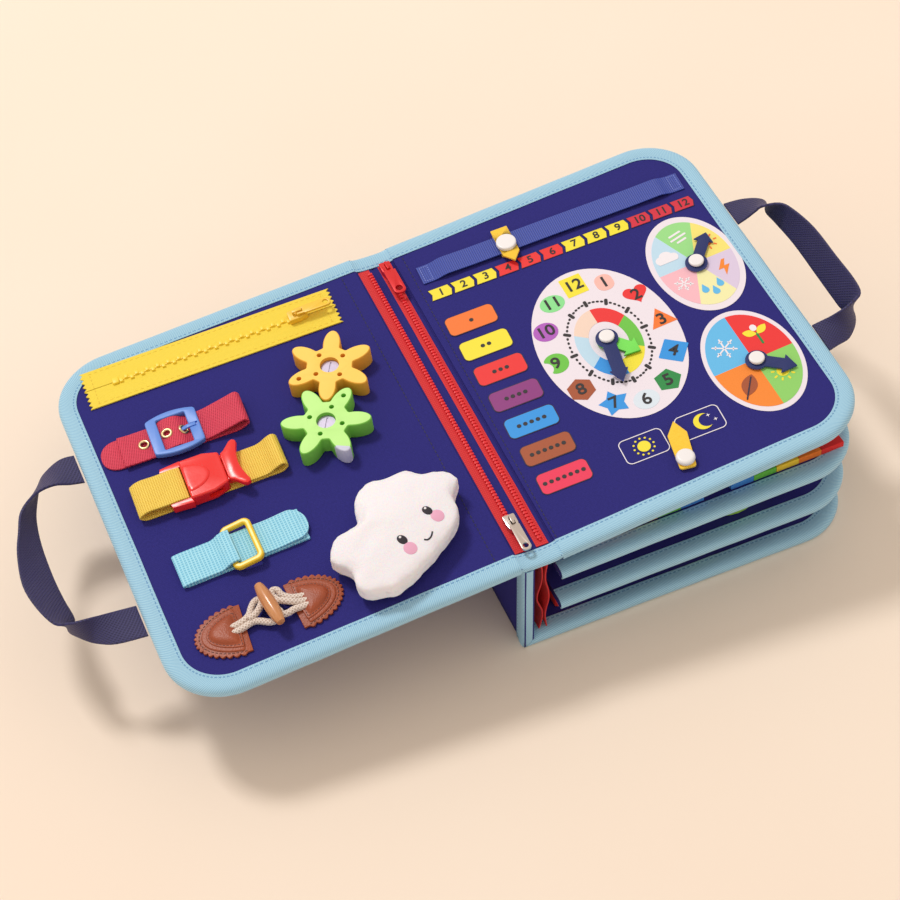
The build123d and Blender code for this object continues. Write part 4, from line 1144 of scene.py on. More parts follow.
# Each gear has a face foam and a darker copy for its sides; the darker side colour is painted shade.
GEAR_FOAM = {
    "yellow": (foam("yellow_foam_face", "#FFDC72", "#FFD45E"),
               foam("yellow_foam_side_painted_shade", "#F6B442", "#EFA934")),
    "green": (foam("green_foam_face", "#CDFFA0", "#C0F890"),
              foam("green_foam_side_painted_shade", "#88D85A", "#7ACC4C")),
}
undyed = foam("undyed_foam", "#DADDF2", "#CFD3EC")
UNDYED_TIP = (-79.4, -26.0)      # one lobe of the green gear was left undyed towards its tip
UNDYED_FROM = (-79.1, -14.8)
UNDYED_EDGE = (0.53, 0.85)       # points square away from the undyed part
UNDYED_REACH = 17
cover_up = on_leaf("cover").to_3x3() @ Vector((0, 0, 1))
to_cover = on_leaf("cover").inverted()
for shade, foams in GEAR_FOAM.items():
    gear = settle_soft(f"{shade}_gear", f"{shade}_foam_gear", 0.5, foams[0], f"{shade}_foam")
    gear.data.materials.append(foams[1])
    gear.data.materials.append(undyed)
    if shade == "green":
        with all_of(gear):
            bpy.ops.mesh.bisect(plane_co=on_leaf("cover") @ (Vector((*UNDYED_FROM, 0)) * MM),
                                plane_no=(*UNDYED_EDGE, 0))
    # Faces that do not look up take the darker side foam: painted shade on the gear's sides.
    for face in gear.data.polygons:
        x, y, _ = to_cover @ face.center / MM
        face.material_index = 0 if face.normal.dot(cover_up) > 0.85 else 1
        past = (x - UNDYED_FROM[0]) * UNDYED_EDGE[0] + (y - UNDYED_FROM[1]) * UNDYED_EDGE[1] < 0
        if shade == "green" and past and hypot(x - UNDYED_TIP[0], y - UNDYED_TIP[1]) < UNDYED_REACH:
            face.material_index = 2

rivet_metal = moulded("lavender_zinc_rivet", "#B9B3CC", 0.35, Metallic=0.6)
finish_node("gear_rivets", rivet_metal)


# ------------------------------------------------------------------ plush cloud
# Short-pile plush stuffed with fibre: two faces sewn round their outline, turned and filled,
# with a face printed on it. The seam is puckered on the side towards the page.
CLOUD = (
    (-119, -89), (-114, -82), (-106, -78), (-97, -76), (-95, -68), (-91, -60), (-86, -54),
    (-79, -50), (-71, -50), (-63, -52), (-57, -51), (-50, -52), (-46, -56), (-42, -60), (-34, -62),
    (-29, -64), (-24, -69), (-23, -75), (-26, -80), (-31, -86), (-32, -97), (-37, -105),
    (-47, -113), (-54, -117), (-61, -122), (-69, -125), (-75, -129), (-82, -131), (-90, -134),
    (-97, -132), (-104, -130), (-109, -129), (-112, -124), (-113, -119), (-111, -112), (-114, -106),
    (-118, -102), (-121, -96),
)
CLOUD_SHRINK = 0.985     # cut smaller, because it swells
CLOUD_LAYER = (4.0, 19.0)
CLOUD_MIDDLE = 11.5
CLOUD_SWELL = 8.0        # farthest that a point may move

middle_x = sum(x for x, _ in CLOUD) / len(CLOUD)
middle_y = sum(y for _, y in CLOUD) / len(CLOUD)
shrunk = [(middle_x + (x - middle_x) * CLOUD_SHRINK, middle_y + (y - middle_y) * CLOUD_SHRINK)
          for x, y in CLOUD]
plush = cut_out([shrunk], *CLOUD_LAYER)
finish_with(plush, "REMESH", mode="VOXEL", voxel_size=3.0 * MM)
finish_with(plush, "SMOOTH", factor=0.5, iterations=5)
at_rest = [vertex.co.copy() for vertex in plush.data.vertices]
pick(plush)
cloth = plush.modifiers.new("filling", "CLOTH")
cloth.settings.quality = 6
cloth.settings.use_pressure = True
cloth.settings.uniform_pressure_force = 4.0
cloth.settings.tension_stiffness = 12
cloth.settings.shear_stiffness = 6
cloth.settings.effector_weights.gravity = 0.0
for step in range(1, 21):
    bpy.context.scene.frame_set(step)
bpy.ops.object.modifier_apply(modifier="filling")
for vertex, start in zip(plush.data.vertices, at_rest):
    swell = vertex.co - start
    if swell.length > CLOUD_SWELL * MM:
        vertex.co = start + swell.normalized() * CLOUD_SWELL * MM
bpy.context.scene.frame_set(1)
finish_with(plush, "SUBSURF", levels=1, render_levels=1)
for vertex in plush.data.vertices:
    x, y, z = vertex.co / MM
    at_seam = max(0.0, 1 - abs(z - CLOUD_MIDDLE) / 2.2)
    pucker = noise.noise(Vector((x * 0.35, y * 0.35, 0.0)))
    inward = Vector((middle_x - x, middle_y - y, 0)).normalized()
    frill = noise.noise(Vector((x * 0.9, y * 0.9, 7.0))) * (x - middle_x - y + middle_y > 8)
    vertex.co += inward * at_seam * (0.6 + 1.0 * pucker + 1.6 * frill) * MM
    vertex.co.z = max(vertex.co.z, 0.4 * MM)
    vertex.co.z += 0.7 * MM * noise.noise(Vector((x * 0.06, y * 0.06, 3.0))) * (z > CLOUD_MIDDLE)

pile, tree, shader = new_material("white_short_pile_plush", "#F7F1F3", 0.95, Sheen_Weight=0.5,
                                  Sheen_Roughness=0.6, Specular_IOR_Level=0.2, Subsurface_Weight=0.15,
                                  Subsurface_Scale=0.003)
place = solid_place(tree)
tufts = worked(tree, "ADD", mottling(tree, place, 900.0, Detail=3.0),
               mottling(tree, place, 190.0, Detail=2.0))
surfaced(tree, shader, tinted(tree, mottling(tree, place, 22.0), "#F0ECF6", "#FAF8FF"), tufts, 0.45, 0.7)


def oval(x, y, wide, tall, turn=0.0, count=28):
    """Outline of an ellipse, turned by some degrees."""
    c, s = cos(radians(turn)), sin(radians(turn))
    around = [(wide / 2 * cos(2 * pi * i / count), tall / 2 * sin(2 * pi * i / count)) for i in range(count)]
    return [(x + a * c - b * s, y + a * s + b * c) for a, b in around]


def drape_on(piece, base):
    """Lay a flat piece on what is under it, point by point."""
    bpy.context.view_layer.update()
    for vertex in piece.data.vertices:
        hit, spot, _, _ = base.ray_cast(Vector((vertex.co.x, vertex.co.y, 60 * MM)), Vector((0, 0, -1)))
        vertex.co.z += spot.z if hit else 0
    return piece


def arch(points, width):
    """Outline of a line drawn that wide."""
    line = rounded([(x, y, 0) for x, y in points], 3.0, 5)
    left, right = [], []
    for index, spot in enumerate(line):
        ahead = (line[min(index + 1, len(line) - 1)] - line[max(index - 1, 0)]).normalized()
        side = Vector((-ahead.y, ahead.x, 0)) * width / 2
        left.append((spot + side)[:2])
        right.append((spot - side)[:2])
    return left + right[::-1]


# Flocked ink, a little proud of the pile.
face_ink = foam("charcoal_face_ink", "#33303A", "#26242C")
cheek_ink = foam("pink_cheek_ink", "#EFB6D2", "#E9A8C8")
shine_ink = foam("white_eye_ink", "#F4F2F6", "#E8E6EC")
FACE_TURN = 33.0
EYES = ((-52.3, -92.3), (-74.6, -105.6))
CHEEKS = ((-47.9, -97.9), (-72.3, -112.8))
SMILE = ((-62.3, -110.4), (-60.3, -111.6), (-57.3, -110.2), (-55.3, -107.2))
dark = [cut_out([oval(x, y, 5.4, 7.0, FACE_TURN)], -0.3, 0.35, bevel=0.1) for x, y in EYES]
dark.append(cut_out([arch(SMILE, 0.9)], -0.3, 0.3))
glints = [cut_out([oval(x - 0.6, y + 1.9, 1.7, 1.5, FACE_TURN)], -0.3, 0.42) for x, y in EYES]
blush = [cut_out([oval(x, y, 8.2, 8.6, FACE_TURN)], -0.3, 0.25, bevel=0.1) for x, y in CHEEKS]
for name, pieces, material in (("cloud_eyes_and_smile", dark, face_ink),
                               ("cloud_eye_glints", glints, shine_ink),
                               ("cloud_cheeks", blush, cheek_ink)):
    printed = drape_on(joined(pieces), plush)
    settle(printed, name, "cover", on_leaf("cover"), material, slot="white_plush")
settle(plush, "stuffed_cloud", "cover", on_leaf("cover"), pile, slot="white_plush", replaces=["plush_cloud"],
       smooth=80)


# ------------------------------------------------------------------ month ribbon and its pointer
# Grosgrain ribbon sewn down at both ends and free between them, and a felt pointer with a
# sewn-on button, whose sleeve slides along it.
RIBBON = ("page_1", 121.8, 103.6, -2.7)
RIBBON_PATH = ((-97.5, 0.6), (-87.5, 0.6), (-81.0, 2.9), (-60.0, 2.3), (0.0, 2.6), (60.0, 2.3), (81.0, 2.9),
               (87.5, 0.6), (97.5, 0.6))
RIBBON_WIDTH = 16.0
POINTER_FACE = 5.2       # top of the pointer's felt, over the cloth
BUTTON_X = -34.0


def felt(name, dark, light):
    """Pressed polyester felt: matt, mottled by its matted fibres, 2 to 3 mm long."""
    made, tree, shader = new_material(name, light, 0.92, Sheen_Weight=0.05, Specular_IOR_Level=0.2)
    fibre = mottling(tree, solid_place(tree), 420.0, Detail=4.0, Distortion=1.5)
    surfaced(tree, shader, tinted(tree, fibre, dark, light), fibre, 0.35, 0.4)
    return made


grosgrain, tree, shader = new_material("blue_grosgrain_ribbon", "#3549A8", 0.5)
rib = bands(tree, cloth_place(tree), 1.5)
# The rib mask tints the ribs lighter and the furrows darker: painted highlight and painted shade.
surfaced(tree, shader, tinted(tree, rib, "#21338E", "#3650B6"), rib, 0.6, 0.4)
ribbon = lay_strip(fold_stations(RIBBON_PATH, 5), across(RIBBON_WIDTH, 6), thickness=0.8)
settle(ribbon, "grosgrain_ribbon", "page_1", on_leaf(*RIBBON), grosgrain, slot="blue_ribbon",
       replaces=["month_ribbon"], mapped=True, smooth=50)
blue_thread = moulded("pale_blue_sewing_thread", "#7C8CD8", 0.6)
rows = []
for side in (-1, 1):
    rows.append(stitches([(side * 95.5, -6.4), (side * 95.5, 6.4), (side * 90, 6.4), (side * 90, -6.4),
                          (side * 95.5, -6.4)], 1.9, 1.4, 0.5, level=0.95, height=0.3))
settle(joined(rows), "ribbon_stitching", "page_1", on_leaf(*RIBBON), blue_thread, slot="blue_ribbon")

yellow_felt = felt("yellow_pressed_felt", "#F6C437", "#FFDA55")
white_plastic = moulded("white_abs_plastic", "#F3F1F4", 0.3)
pointer = settle_soft("month_pointer", "felt_month_pointer", 0.3, yellow_felt, "yellow_felt")
pointer.data.materials.append(white_plastic)
from_ribbon = on_leaf(*RIBBON).inverted()
for face in pointer.data.polygons:
    face.material_index = 1 if (from_ribbon @ face.center).z > POINTER_FACE * MM else 0
for vertex in pointer.data.vertices:            # the button is moulded wider than the rivet's own head
    spot = from_ribbon @ vertex.co
    if spot.z > POINTER_FACE * MM:
        out = spot - Vector((BUTTON_X, -2.6, 0)) * MM
        vertex.co = on_leaf(*RIBBON) @ (spot + Vector((out.x, out.y, 0)) * 0.24)


# ------------------------------------------------------------------ printed calendar
# Vinyl inks screen-printed on the cloth: twelve month arrows and seven day tiles, each with a
# thin dark outline. Months carry plain numbers, and days a row of dots.
INK = 0.18               # thickness of one layer of ink, drawn thick enough to show its edge


def ink(name, hex_code, roughness=0.5):
    """Printed vinyl ink: even, half-matt, and faintly rippled by the cloth under it."""
    made, tree, shader = new_material(name, hex_code, roughness, Specular_IOR_Level=0.4)
    place = solid_place(tree)
    matt = ranged(tree, mottling(tree, place, 30.0), roughness * 0.85, roughness * 1.15)
    surfaced(tree, shader, None, mottling(tree, place, 160.0), 0.12, 0.3, matt=matt)
    return made


INKS = {name: ink(f"{name}_vinyl_ink", shade) for name, shade in (
    ("black", "#1F1C22"), ("outline", "#2A1D38"), ("white", "#F2EEF6"), ("dial", "#EEE6F2"),
    ("yellow", "#F4E637"), ("red", "#EA2D2E"), ("crimson", "#D2263F"), ("orange", "#F47A2E"),
    ("purple", "#8A3180"), ("violet", "#B25CC4"), ("blue", "#2C97EA"), ("brown", "#A3502B"),
    ("rose", "#EA3159"), ("green", "#6CC644"), ("leaf", "#1F8A43"), ("mint", "#8CE495"),
    ("pale_blue", "#BFE0F6"), ("peach", "#F3D8C8"), ("pink", "#F7BFB6"), ("ice", "#DCEAF8"),
    ("sky", "#62BDF2"), ("lilac", "#DCCDE9"), ("cream", "#F3F0B4"), ("blush", "#F6BCC9"),
    ("straw", "#F6E77A"), ("fresh", "#9ADF8C"), ("tangerine", "#F58A2C"), ("grass", "#8FD36A"),
)}


def layer(outlines, level, shade):
    """A printed shape on that layer of ink, the lowest being layer 1."""
    shape = cut_out(outlines, (level - 1) * INK, level * INK)
    shape.data.materials.append(INKS[shade])
    return shape


def moved(outline, x, y, turn=0.0):
    """An outline turned by some degrees and moved."""
    c, s = cos(radians(turn)), sin(radians(turn))
    return [(x + a * c - b * s, y + a * s + b * c) for a, b in outline]


def numeral(text, x, y, size, turn=0.0):
    """A plain printed number in black, on the third layer of ink, centred on a point."""
    bpy.ops.object.select_all(action="DESELECT")
    bpy.ops.object.text_add()
    line = bpy.context.object
    line.data.body = text
    line.data.size = size * MM
    line.data.align_x, line.data.align_y = "CENTER", "CENTER"
    line.data.resolution_u = 4
    line.data.extrude = INK / 2 * MM
    line.data.offset = 0.018 * size * MM    # bold
    bpy.ops.object.convert(target="MESH")
    line = bpy.context.object
    line.data.transform(Matrix.Translation(Vector((x, y, 2.5 * INK)) * MM)
                        @ Matrix.Rotation(radians(turn), 4, "Z"))
    line.data.materials.clear()
    line.data.materials.append(INKS["black"])
    close_up(line)
    return line


MONTHS = ("page_1", 121.5, 83.7, -2.83)
MONTH_PITCH = 16.35
MONTH_TALL = 10.4
NOTCH = 1.5
MONTH_SHADES = ("yellow",) * 3 + ("red",) * 3 + ("yellow",) * 3 + ("crimson",) * 3


def arrow_tile(length, tall, notch):
    """A tile with a notch at its left end and a point at its right."""
    a, b = length / 2, tall / 2
    return [(-a, -b), (a - notch, -b), (a, 0), (a - notch, b), (-a, b), (-a + notch, 0)]


prints = []
for index, shade in enumerate(MONTH_SHADES):
    x = (index - 5.5) * MONTH_PITCH
    prints.append(layer([moved(arrow_tile(MONTH_PITCH, MONTH_TALL, NOTCH), x, 0)], 1, "outline"))
    prints.append(layer([moved(arrow_tile(MONTH_PITCH - 0.9, MONTH_TALL - 0.9, NOTCH), x, 0)], 2, shade))
    prints.append(numeral(str(index + 1), x + 0.3, 0, 8.6))
settle(joined(prints), "printed_months", "page_1", on_leaf(*MONTHS), slot="white_plastic")

DAY_PLACES = (55.6, 31.2, 7.2, -17.4, -42.0, -67.0, -91.8)
DAY_X = 40.0
DAY_TURN = -2.7
DAY_SHADES = ("orange", "yellow", "red", "purple", "blue", "brown", "rose")
prints = []
for index, (y, shade) in enumerate(zip(DAY_PLACES, DAY_SHADES)):
    prints.append(layer([moved(rounded_box(-17.6, 17.6, -8.7, 8.7, 4.2), DAY_X, y, DAY_TURN)], 1, "outline"))
    prints.append(layer([moved(rounded_box(-17.0, 17.0, -8.1, 8.1, 3.6), DAY_X, y, DAY_TURN)], 2, shade))
    for dot in range(index + 1):
        spot = moved([((dot - index / 2) * 4.4, 0.0)], DAY_X, y, DAY_TURN)[0]
        prints.append(layer([oval(*spot, 3.0, 3.0, count=16)], 3, "black"))
settle(joined(prints), "printed_days", "page_1", on_leaf("page_1"), slot="white_plastic")


# ------------------------------------------------------------------ clock dial
# A printed dial: numbers on plain shapes, a ring of minute marks and a ring of colours.
# All the dials are ovals. Each is given by its middle and its half width and height.
CLOCK = (113.2, -6.4, 47.7, 67.8)
RING_FROM, RING_TO, MARKS_AT, NUMBERS_AT = 0.265, 0.45, 0.54, 0.815    # as shares of the dial
FOUR_TURN = -40.0        # the shape behind the 4 is tipped, and its number with it


def sector(x, y, inner, outer, start, end, step=5.0):
    """Outline of part of a ring, from one angle to another in degrees, anticlockwise."""
    count = max(2, round((end - start) / step))
    angles = [radians(start + (end - start) * i / count) for i in range(count + 1)]
    far = [(x + outer * cos(a), y + outer * sin(a)) for a in angles]
    near = [(x + inner * cos(a), y + inner * sin(a)) for a in reversed(angles)] if inner else [(x, y)]
    return far + near


def on_dial(dial, share, turn):
    """A place on a dial, at a share of its size and at an angle in degrees."""
    x, y, wide, tall = dial
    return x + wide * share * cos(radians(turn)), y + tall * share * sin(radians(turn))


def dial_part(dial, near, far, start, end):
    """Outline of part of a dial, from one share of its size to another."""
    return [(dial[0] + dial[2] * u, dial[1] + dial[3] * v) for u, v in sector(0, 0, near, far, start, end)]


def many_sided(radius, corners, inner=0.0, turn=90.0):
    """A regular polygon, or a star where an inner radius is given."""
    count = corners * (2 if inner else 1)
    return [((inner if inner and i % 2 else radius) * cos(radians(turn) + 2 * pi * i / count),
             (inner if inner and i % 2 else radius) * sin(radians(turn) + 2 * pi * i / count))
            for i in range(count)]


heart = [(0.53 * 16 * sin(t) ** 3, 0.53 * (13 * cos(t) - 5 * cos(2 * t) - 2 * cos(3 * t) - cos(4 * t)) + 1)
         for t in [2 * pi * i / 36 for i in range(36)]]
bitten = [p for p in oval(0, 0, 17, 17, count=40) if hypot(p[0] + 8.5, p[1] + 1.5) > 5.5]
bite = sorted((p for p in oval(-8.5, -1.5, 11, 11, count=40) if hypot(*p) < 8.3), key=lambda p: p[1])
start = max(range(len(bitten)),
            key=lambda i: hypot(bitten[i][0] - bitten[i - 1][0], bitten[i][1] - bitten[i - 1][1]))
bitten = bitten[start:] + bitten[:start]
bitten += bite if hypot(bitten[-1][0] - bite[0][0], bitten[-1][1] - bite[0][1]) < 6 else bite[::-1]
NUMBER_SHAPES = (        # outline behind each number, from 12 on
    (rounded_box(-7.7, 7.7, -8.6, 8.6, 0.6), "yellow"),
    (rounded_box(-6.2, 6.2, -7.2, 7.2, 5.6), "pink"),
    (heart, "red"),
    (many_sided(10.6, 3, turn=-30), "orange"),
    (rounded_box(-8.2, 8.2, -8.2, 8.2, 0.8), "blue"),
    (many_sided(9.4, 5, turn=72), "leaf"),
    (oval(0, 0, 17.5, 15.5), "ice"),
    (many_sided(10.6, 5, inner=6.2), "blue"),
    (many_sided(9.6, 6, turn=90), "brown"),
    (bitten, "green"),
    (oval(0, 0, 17, 16), "violet"),
    (oval(0, 0, 17.5, 14.5), "mint"),
)
RING_SHADES = ("red", "green", "yellow", "blue", "pale_blue", "peach")   # clockwise from 12

prints = [layer([dial_part(CLOCK, 0, 1, 0, 360)[:-2]], 1, "dial")]
for hour, (outline, shade) in enumerate(NUMBER_SHAPES):
    at, turn = on_dial(CLOCK, NUMBERS_AT, 90 - 30 * hour), FOUR_TURN if hour == 4 else 0.0
    prints.append(layer([moved(outline, *at, turn)], 2, shade))
    prints.append(numeral(str(hour or 12), *at, 13.0, turn=turn))
for minute in range(60):
    at, (u, v) = (on_dial(CLOCK, MARKS_AT, 90 - 6 * minute + shift) for shift in (0, 0.5))
    away = degrees(atan2(at[1] - CLOCK[1], at[0] - CLOCK[0]))
    along = degrees(atan2(v - at[1], u - at[0]))
    mark = rounded_box(-2.8, 2.8, -1.2, 1.2, 1.1) if minute % 5 == 0 else oval(0, 0, 2.3, 1.7, count=10)
    prints.append(layer([moved(mark, *at, away if minute % 5 == 0 else along)], 2, "black"))
for index, shade in enumerate(RING_SHADES):
    prints.append(layer([dial_part(CLOCK, RING_FROM, RING_TO, 30 - 60 * index, 90 - 60 * index)], 2, shade))
settle(joined(prints), "printed_clock_dial", "page_1", on_leaf("page_1"), slot="white_plastic")


# ------------------------------------------------------------------ weather and season dials
# Two printed dials in coloured sectors, each with a plain sign for the weather or the season.
WEATHER = (194.2, 26.7, 30.4, 44.8)
SEASONS = (188.8, -66.4, 31.4, 44.7)
LIGHTNING = ((1.0, 7.0), (-4.4, -0.6), (-0.6, -0.6), (-1.6, -7.0), (4.4, 1.2), (0.6, 1.2), (3.4, 7.0))


def rays(x, y, near, far, width, count, turn=0.0):
    """Outlines of short bars that point away from a centre."""
    bar = rounded_box(near, far, -width / 2, width / 2, width * 0.45)
    return [moved(bar, x, y, turn + 360 * i / count) for i in range(count)]


def flake(x, y, size):
    """Outlines of a six-armed snowflake: crossed bars with a short cross-bar on each arm."""
    arms = rays(x, y, 0.6, size, 1.1, 6, 30)
    for i in range(6):
        a = radians(30 + 60 * i)
        tip = (x + size * 0.68 * cos(a), y + size * 0.68 * sin(a))
        arms.append(moved(rounded_box(-1.6, 1.6, -0.45, 0.45, 0.4), *tip, 30 + 60 * i + 90))
    return arms


def drop(x, y, size):
    """Outline of a raindrop."""
    round_end = [(x + size * 0.5 * cos(a), y + size * 0.5 * sin(a))
                 for a in [radians(150 + 240 * i / 14) for i in range(15)]]
    return round_end + [(x, y + size * 1.15)]


def leaf_shape(long, wide, count=10):
    """Outline of a pointed leaf along X."""
    top = [(long * (i / count - 0.5), wide / 2 * sin(pi * i / count) ** 0.8) for i in range(count + 1)]
    return top + [(a, -b) for a, b in top[-2:0:-1]]


prints = [layer([dial_part(WEATHER, 0, 1, 0, 360)[:-2]], 1, "dial")]
for index, shade in enumerate(("fresh", "straw", "lilac", "cream", "blush", "pale_blue")):
    prints.append(layer([dial_part(WEATHER, 0, 0.88, 60 - 60 * index, 120 - 60 * index)], 2, shade))
wind, sun, bolt, rain, snow, puff = (on_dial(WEATHER, 0.58, 90 - 60 * i) for i in range(6))
for row, (shift, long) in enumerate(((3.6, 10.0), (0.0, 13.0), (-3.6, 8.0))):
    prints.append(layer([moved(rounded_box(-long / 2, long / 2, -0.8, 0.8, 0.7), wind[0] + row - 1,
                               wind[1] + shift, 12)], 3, "white"))
prints.append(layer([oval(*sun, 7.4, 7.4)], 3, "orange"))
prints += [layer([bar], 3, "orange") for bar in rays(*sun, 4.9, 7.4, 1.2, 8)]
prints.append(layer([moved(LIGHTNING, *bolt)], 3, "tangerine"))
prints += [layer([drop(rain[0] + dx, rain[1] + dy, 5.0)], 3, "sky")
           for dx, dy in ((-5, 1), (1, -3.4), (6.4, 1.6))]
prints += [layer([bar], 3, "white") for bar in flake(*snow, 6.6)]
for level, (dx, dy, r) in enumerate(((-4.6, -0.6, 3.6), (0.0, 1.2, 4.8), (4.8, -0.8, 3.4))):
    prints.append(layer([oval(puff[0] + dx, puff[1] + dy, 2 * r, 2 * r)], 3 + 0.1 * level, "white"))
prints.append(layer([moved(rounded_box(-7.6, 7.6, -4.2, -0.6, 1.7), *puff)], 3.3, "white"))
settle(joined(prints), "printed_weather_dial", "page_1", on_leaf("page_1"), slot="white_plastic")

prints = [layer([dial_part(SEASONS, 0, 1, 0, 360)[:-2]], 1, "dial")]
for index, shade in enumerate(("red", "sky", "tangerine", "grass")):
    prints.append(layer([dial_part(SEASONS, 0, 0.91, 90 * index, 90 * index + 90)], 2, shade))
sprout, frost, fallen, sunny = (on_dial(SEASONS, 0.55, 45 + 90 * i) for i in range(4))
prints.append(layer([moved(rounded_box(-0.8, 0.8, -8.5, 2.0, 0.6), *sprout)], 3, "leaf"))
prints += [layer([moved(leaf_shape(9.5, 5.6), sprout[0] + side * 4.4, sprout[1] + 3.2, 90 - side * 58)],
                 3.1, "yellow") for side in (-1, 1)]
prints.append(layer([oval(sprout[0], sprout[1] + 6.4, 4.6, 5.6)], 3.2, "white"))
prints += [layer([bar], 3, "white") for bar in flake(*frost, 8.6)]
prints.append(layer([moved(leaf_shape(18.0, 10.5), *fallen, 55)], 3, "brown"))
prints.append(layer([moved(rounded_box(-12.0, 7.0, -0.5, 0.5, 0.4), *fallen, 55)], 4, "outline"))
prints.append(layer([oval(*sunny, 8.4, 8.4)], 3, "yellow"))
prints += [layer([bar], 3, "yellow") for bar in rays(*sunny, 5.4, 8.0, 1.3, 9)]
settle(joined(prints), "printed_season_dial", "page_1", on_leaf("page_1"), slot="white_plastic")

# Day and night: two thin frames, one round a sun and one round a crescent moon.
FRAMES = ((95.0, -94.6, 30.0, 20.0), (135.0, -95.0, 30.6, 20.0))
prints = []
for x, y, wide, tall in FRAMES:
    outer, inner = (rounded_box(-wide / 2 + t, wide / 2 - t, -tall / 2 + t, tall / 2 - t, 4.0 - t)
                    for t in (0, 0.6))
    prints.append(layer([moved(outer, x, y, -2.7), moved(inner, x, y, -2.7)], 1, "white"))
sun = FRAMES[0][:2]
prints.append(layer([oval(*sun, 8.6, 8.6)], 1, "yellow"))
prints += [layer([oval(*on_dial((*sun, 6.7, 6.7), 1, 30 * i), 1.5, 1.5, count=10)], 1, "yellow")
           for i in range(12)]
x, y = FRAMES[1][:2]
outer = [(x + 2 + 6.4 * cos(radians(a)), y + 6.4 * sin(radians(a))) for a in range(50, 311, 10)]
inner = [(x + 4.6 + 5.2 * cos(radians(a)), y + 5.2 * sin(radians(a))) for a in range(290, 69, -10)]
prints.append(layer([outer + inner], 1, "yellow"))
prints += [layer([moved(many_sided(1.5, 4, inner=0.5), x + 7 + dx, y + dy)], 1, "white")
           for dx, dy in ((0, 3), (3, -2))]
settle(joined(prints), "printed_day_and_night", "page_1", on_leaf("page_1"), slot="white_plastic")


# ------------------------------------------------------------------ hands and their buttons
# Arrows cut from foam sheet, held by moulded white buttons on rivets, and a felt pointer that
# swings between day and night.
# The navy arrows' edges are paler than their faces, as painted highlight. The green arrow's edges are darker
# than its face, as painted shade.
navy_foam = foam("navy_foam_sheet", "#22306E", "#1D2962")
navy_edge_painted_highlight = foam("navy_foam_edge_painted_highlight", "#3C4E98", "#35468C")
green_foam = foam("light_green_foam_sheet", "#7FEB62", "#74E058")
green_edge_painted_shade = foam("light_green_foam_edge_painted_shade", "#55BF3C", "#4DB036")
FOAM_SHEET = 1.6
HANDS = (                # name, hub, height, turn, length, head's length and half width,
                         # half width of the shaft, radius round the hub
    ("hour", (111.8, -6.2), 1.2, -50.0, 24.3, 8.5, 8.3, 4.6, 7.0),
    ("minute", (111.8, -6.2), 3.15, -99.5, 38.0, 10.0, 6.2, 4.6, 7.6),
    ("weather", (194.2, 25.1), 1.2, 49.0, 27.5, 7.5, 6.8, 3.9, 7.6),
    ("season", (189.9, -68.8), 1.2, -39.0, 26.5, 9.0, 7.6, 4.2, 7.6),
)
for name, hub, low, turn, length, head, half_head, half_shaft, radius in HANDS:
    wide = degrees(asin(half_shaft / radius))
    outline = sector(0, 0, 0, radius, wide, 360 - wide)[:-1]
    outline += [(length - head, -half_shaft), (length - head, -half_head), (length, 0),
                (length - head, half_head), (length - head, half_shaft)]
    arrow = cut_out([moved(outline, *hub, turn), oval(*hub, 4.0, 4.0)], low, low + FOAM_SHEET, bevel=0.25)
    face_foam, edge_painted_light, slot = ((green_foam, green_edge_painted_shade, "green_felt") if name == "hour" else
                                  (navy_foam, navy_edge_painted_highlight, "navy_felt"))
    arrow.data.materials.append(face_foam)
    arrow.data.materials.append(edge_painted_light)
    # Upward faces take the face foam. The edges take the edge foam, which paints highlight on the navy arrows
    # and shade on the green one.
    for face in arrow.data.polygons:
        face.material_index = 0 if face.normal.z > 0.9 else 1
    node = f"{name}_hand"
    settle(arrow, f"{name}_foam_arrow", frame["nodes"][node]["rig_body"], on_leaf("page_1"), slot=slot,
           replaces=[node])
settle_soft("day_night_pointer", "felt_day_night_pointer", 0.3, yellow_felt, "yellow_felt")
settle_soft("hand_rivets", "white_rivet_buttons", 0.8, white_plastic, "white_plastic", segments=3)


# ------------------------------------------------------------------ seams beside the gutter
# The canvas is lockstitched to the hinge strip along both sides of the zip.
navy_thread = moulded("navy_sewing_thread", "#17153C", 0.6)
for leaf, body, points in (("page_1", "page_1", ((20.5, 131), (15.8, -133))),
                           ("cover", "cover", ((-24.5, 131), (-26.0, -133)))):
    seam = stitches(points, 3.6, 2.5, 0.55, level=-0.15, height=0.3)
    settle(seam, f"{leaf}_gutter_seam", body, on_leaf(leaf), navy_thread, slot="navy_cloth")


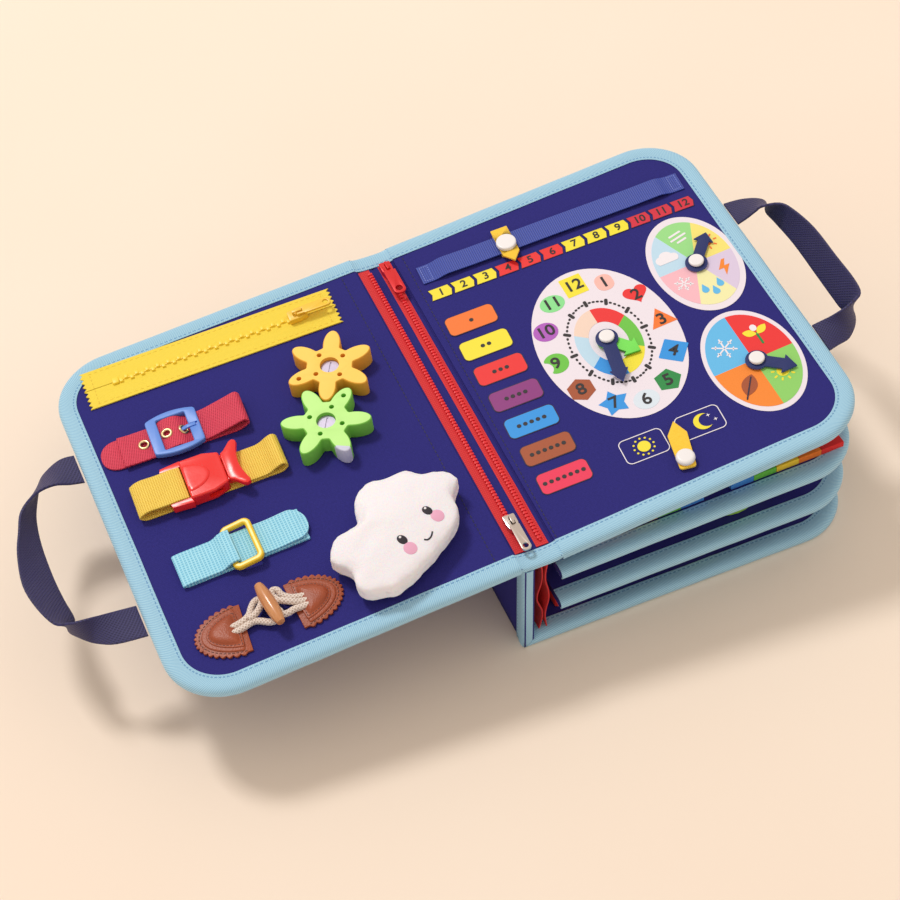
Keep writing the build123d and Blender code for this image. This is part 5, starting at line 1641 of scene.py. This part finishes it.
# ------------------------------------------------------------------ play pieces between the leaves
# Felt shapes sewn on the inner leaves. Only their front edges show.
RAINBOW = (130.0, -131.5)
RAINBOW_WIDE = 92.0
RAINBOW_STEP = 16.5
RAINBOW_FELTS = (
    ("red", "#C8232A", "#E93A38"), ("orange", "#DB6A22", "#F4883A"), ("yellow", "#E5BC2C", "#FBD94A"),
    ("green", "#4FA83A", "#74CC52"), ("blue", "#2B6FC4", "#4A92E4"),
)


def felt_piece(leaf, outlines, low, high, material, name, *hidden):
    """A felt shape on an inner leaf, standing for its CAD node where one is named."""
    piece = cut_out(outlines, low, high, bevel=0.5)
    settle(piece, name, BODY_OF[leaf], on_leaf(leaf), material, slot="inner_felts", replaces=hidden)


felts = {shade: felt(f"{shade}_inner_felt", dark, light) for shade, dark, light in RAINBOW_FELTS + (
    ("navy", "#1F2F74", "#2E4596"), ("lime", "#86C93E", "#AEE564"), ("rosy", "#E08CA4", "#F6B4C4"),
    ("olive", "#8F9A35", "#B4BD52"),
)}
x, y = RAINBOW
for index, (shade, _, _) in enumerate(RAINBOW_FELTS):
    outer = RAINBOW_WIDE - RAINBOW_STEP * index
    felt_piece("page_2", [sector(x, y, outer - RAINBOW_STEP + 0.3, outer, 0, 180)], 0.3, 6.0, felts[shade],
               f"rainbow_{shade}", *(["page_2_felts"] if index == 0 else []))
felt_piece("page_2", [oval(42, -112, 34, 26)], 0.3, 9.0, felts["navy"], "navy_felt_bump")
for index, (x, y) in enumerate(((205, -98), (203, -70))):
    felt_piece("page_2", [oval(x, y, 26, 16, 40)], 6.2, 9.0, felts["lime"], f"lime_felt_leaf_{index + 1}")
felt_piece("page_3", [oval(150, -104, 48, 48)], 0.3, 10.0, felts["lime"], "lime_felt_disc", "page_3_felts")
felt_piece("page_3", [oval(196, -96, 42, 42), oval(196, -96, 24, 24)], 0.3, 8.0, felts["rosy"],
           "rosy_felt_ring")
felt_piece("back_cover", [oval(120, -108, 44, 44), oval(120, -108, 26, 26)], 0.3, 8.0, felts["olive"],
           "olive_felt_ring", "back_cover_felts")
felt_piece("back_cover", [rounded_box(18, 40, -128, -118, 2)], 0.3, 9.0, felts["red"], "red_felt_tab")
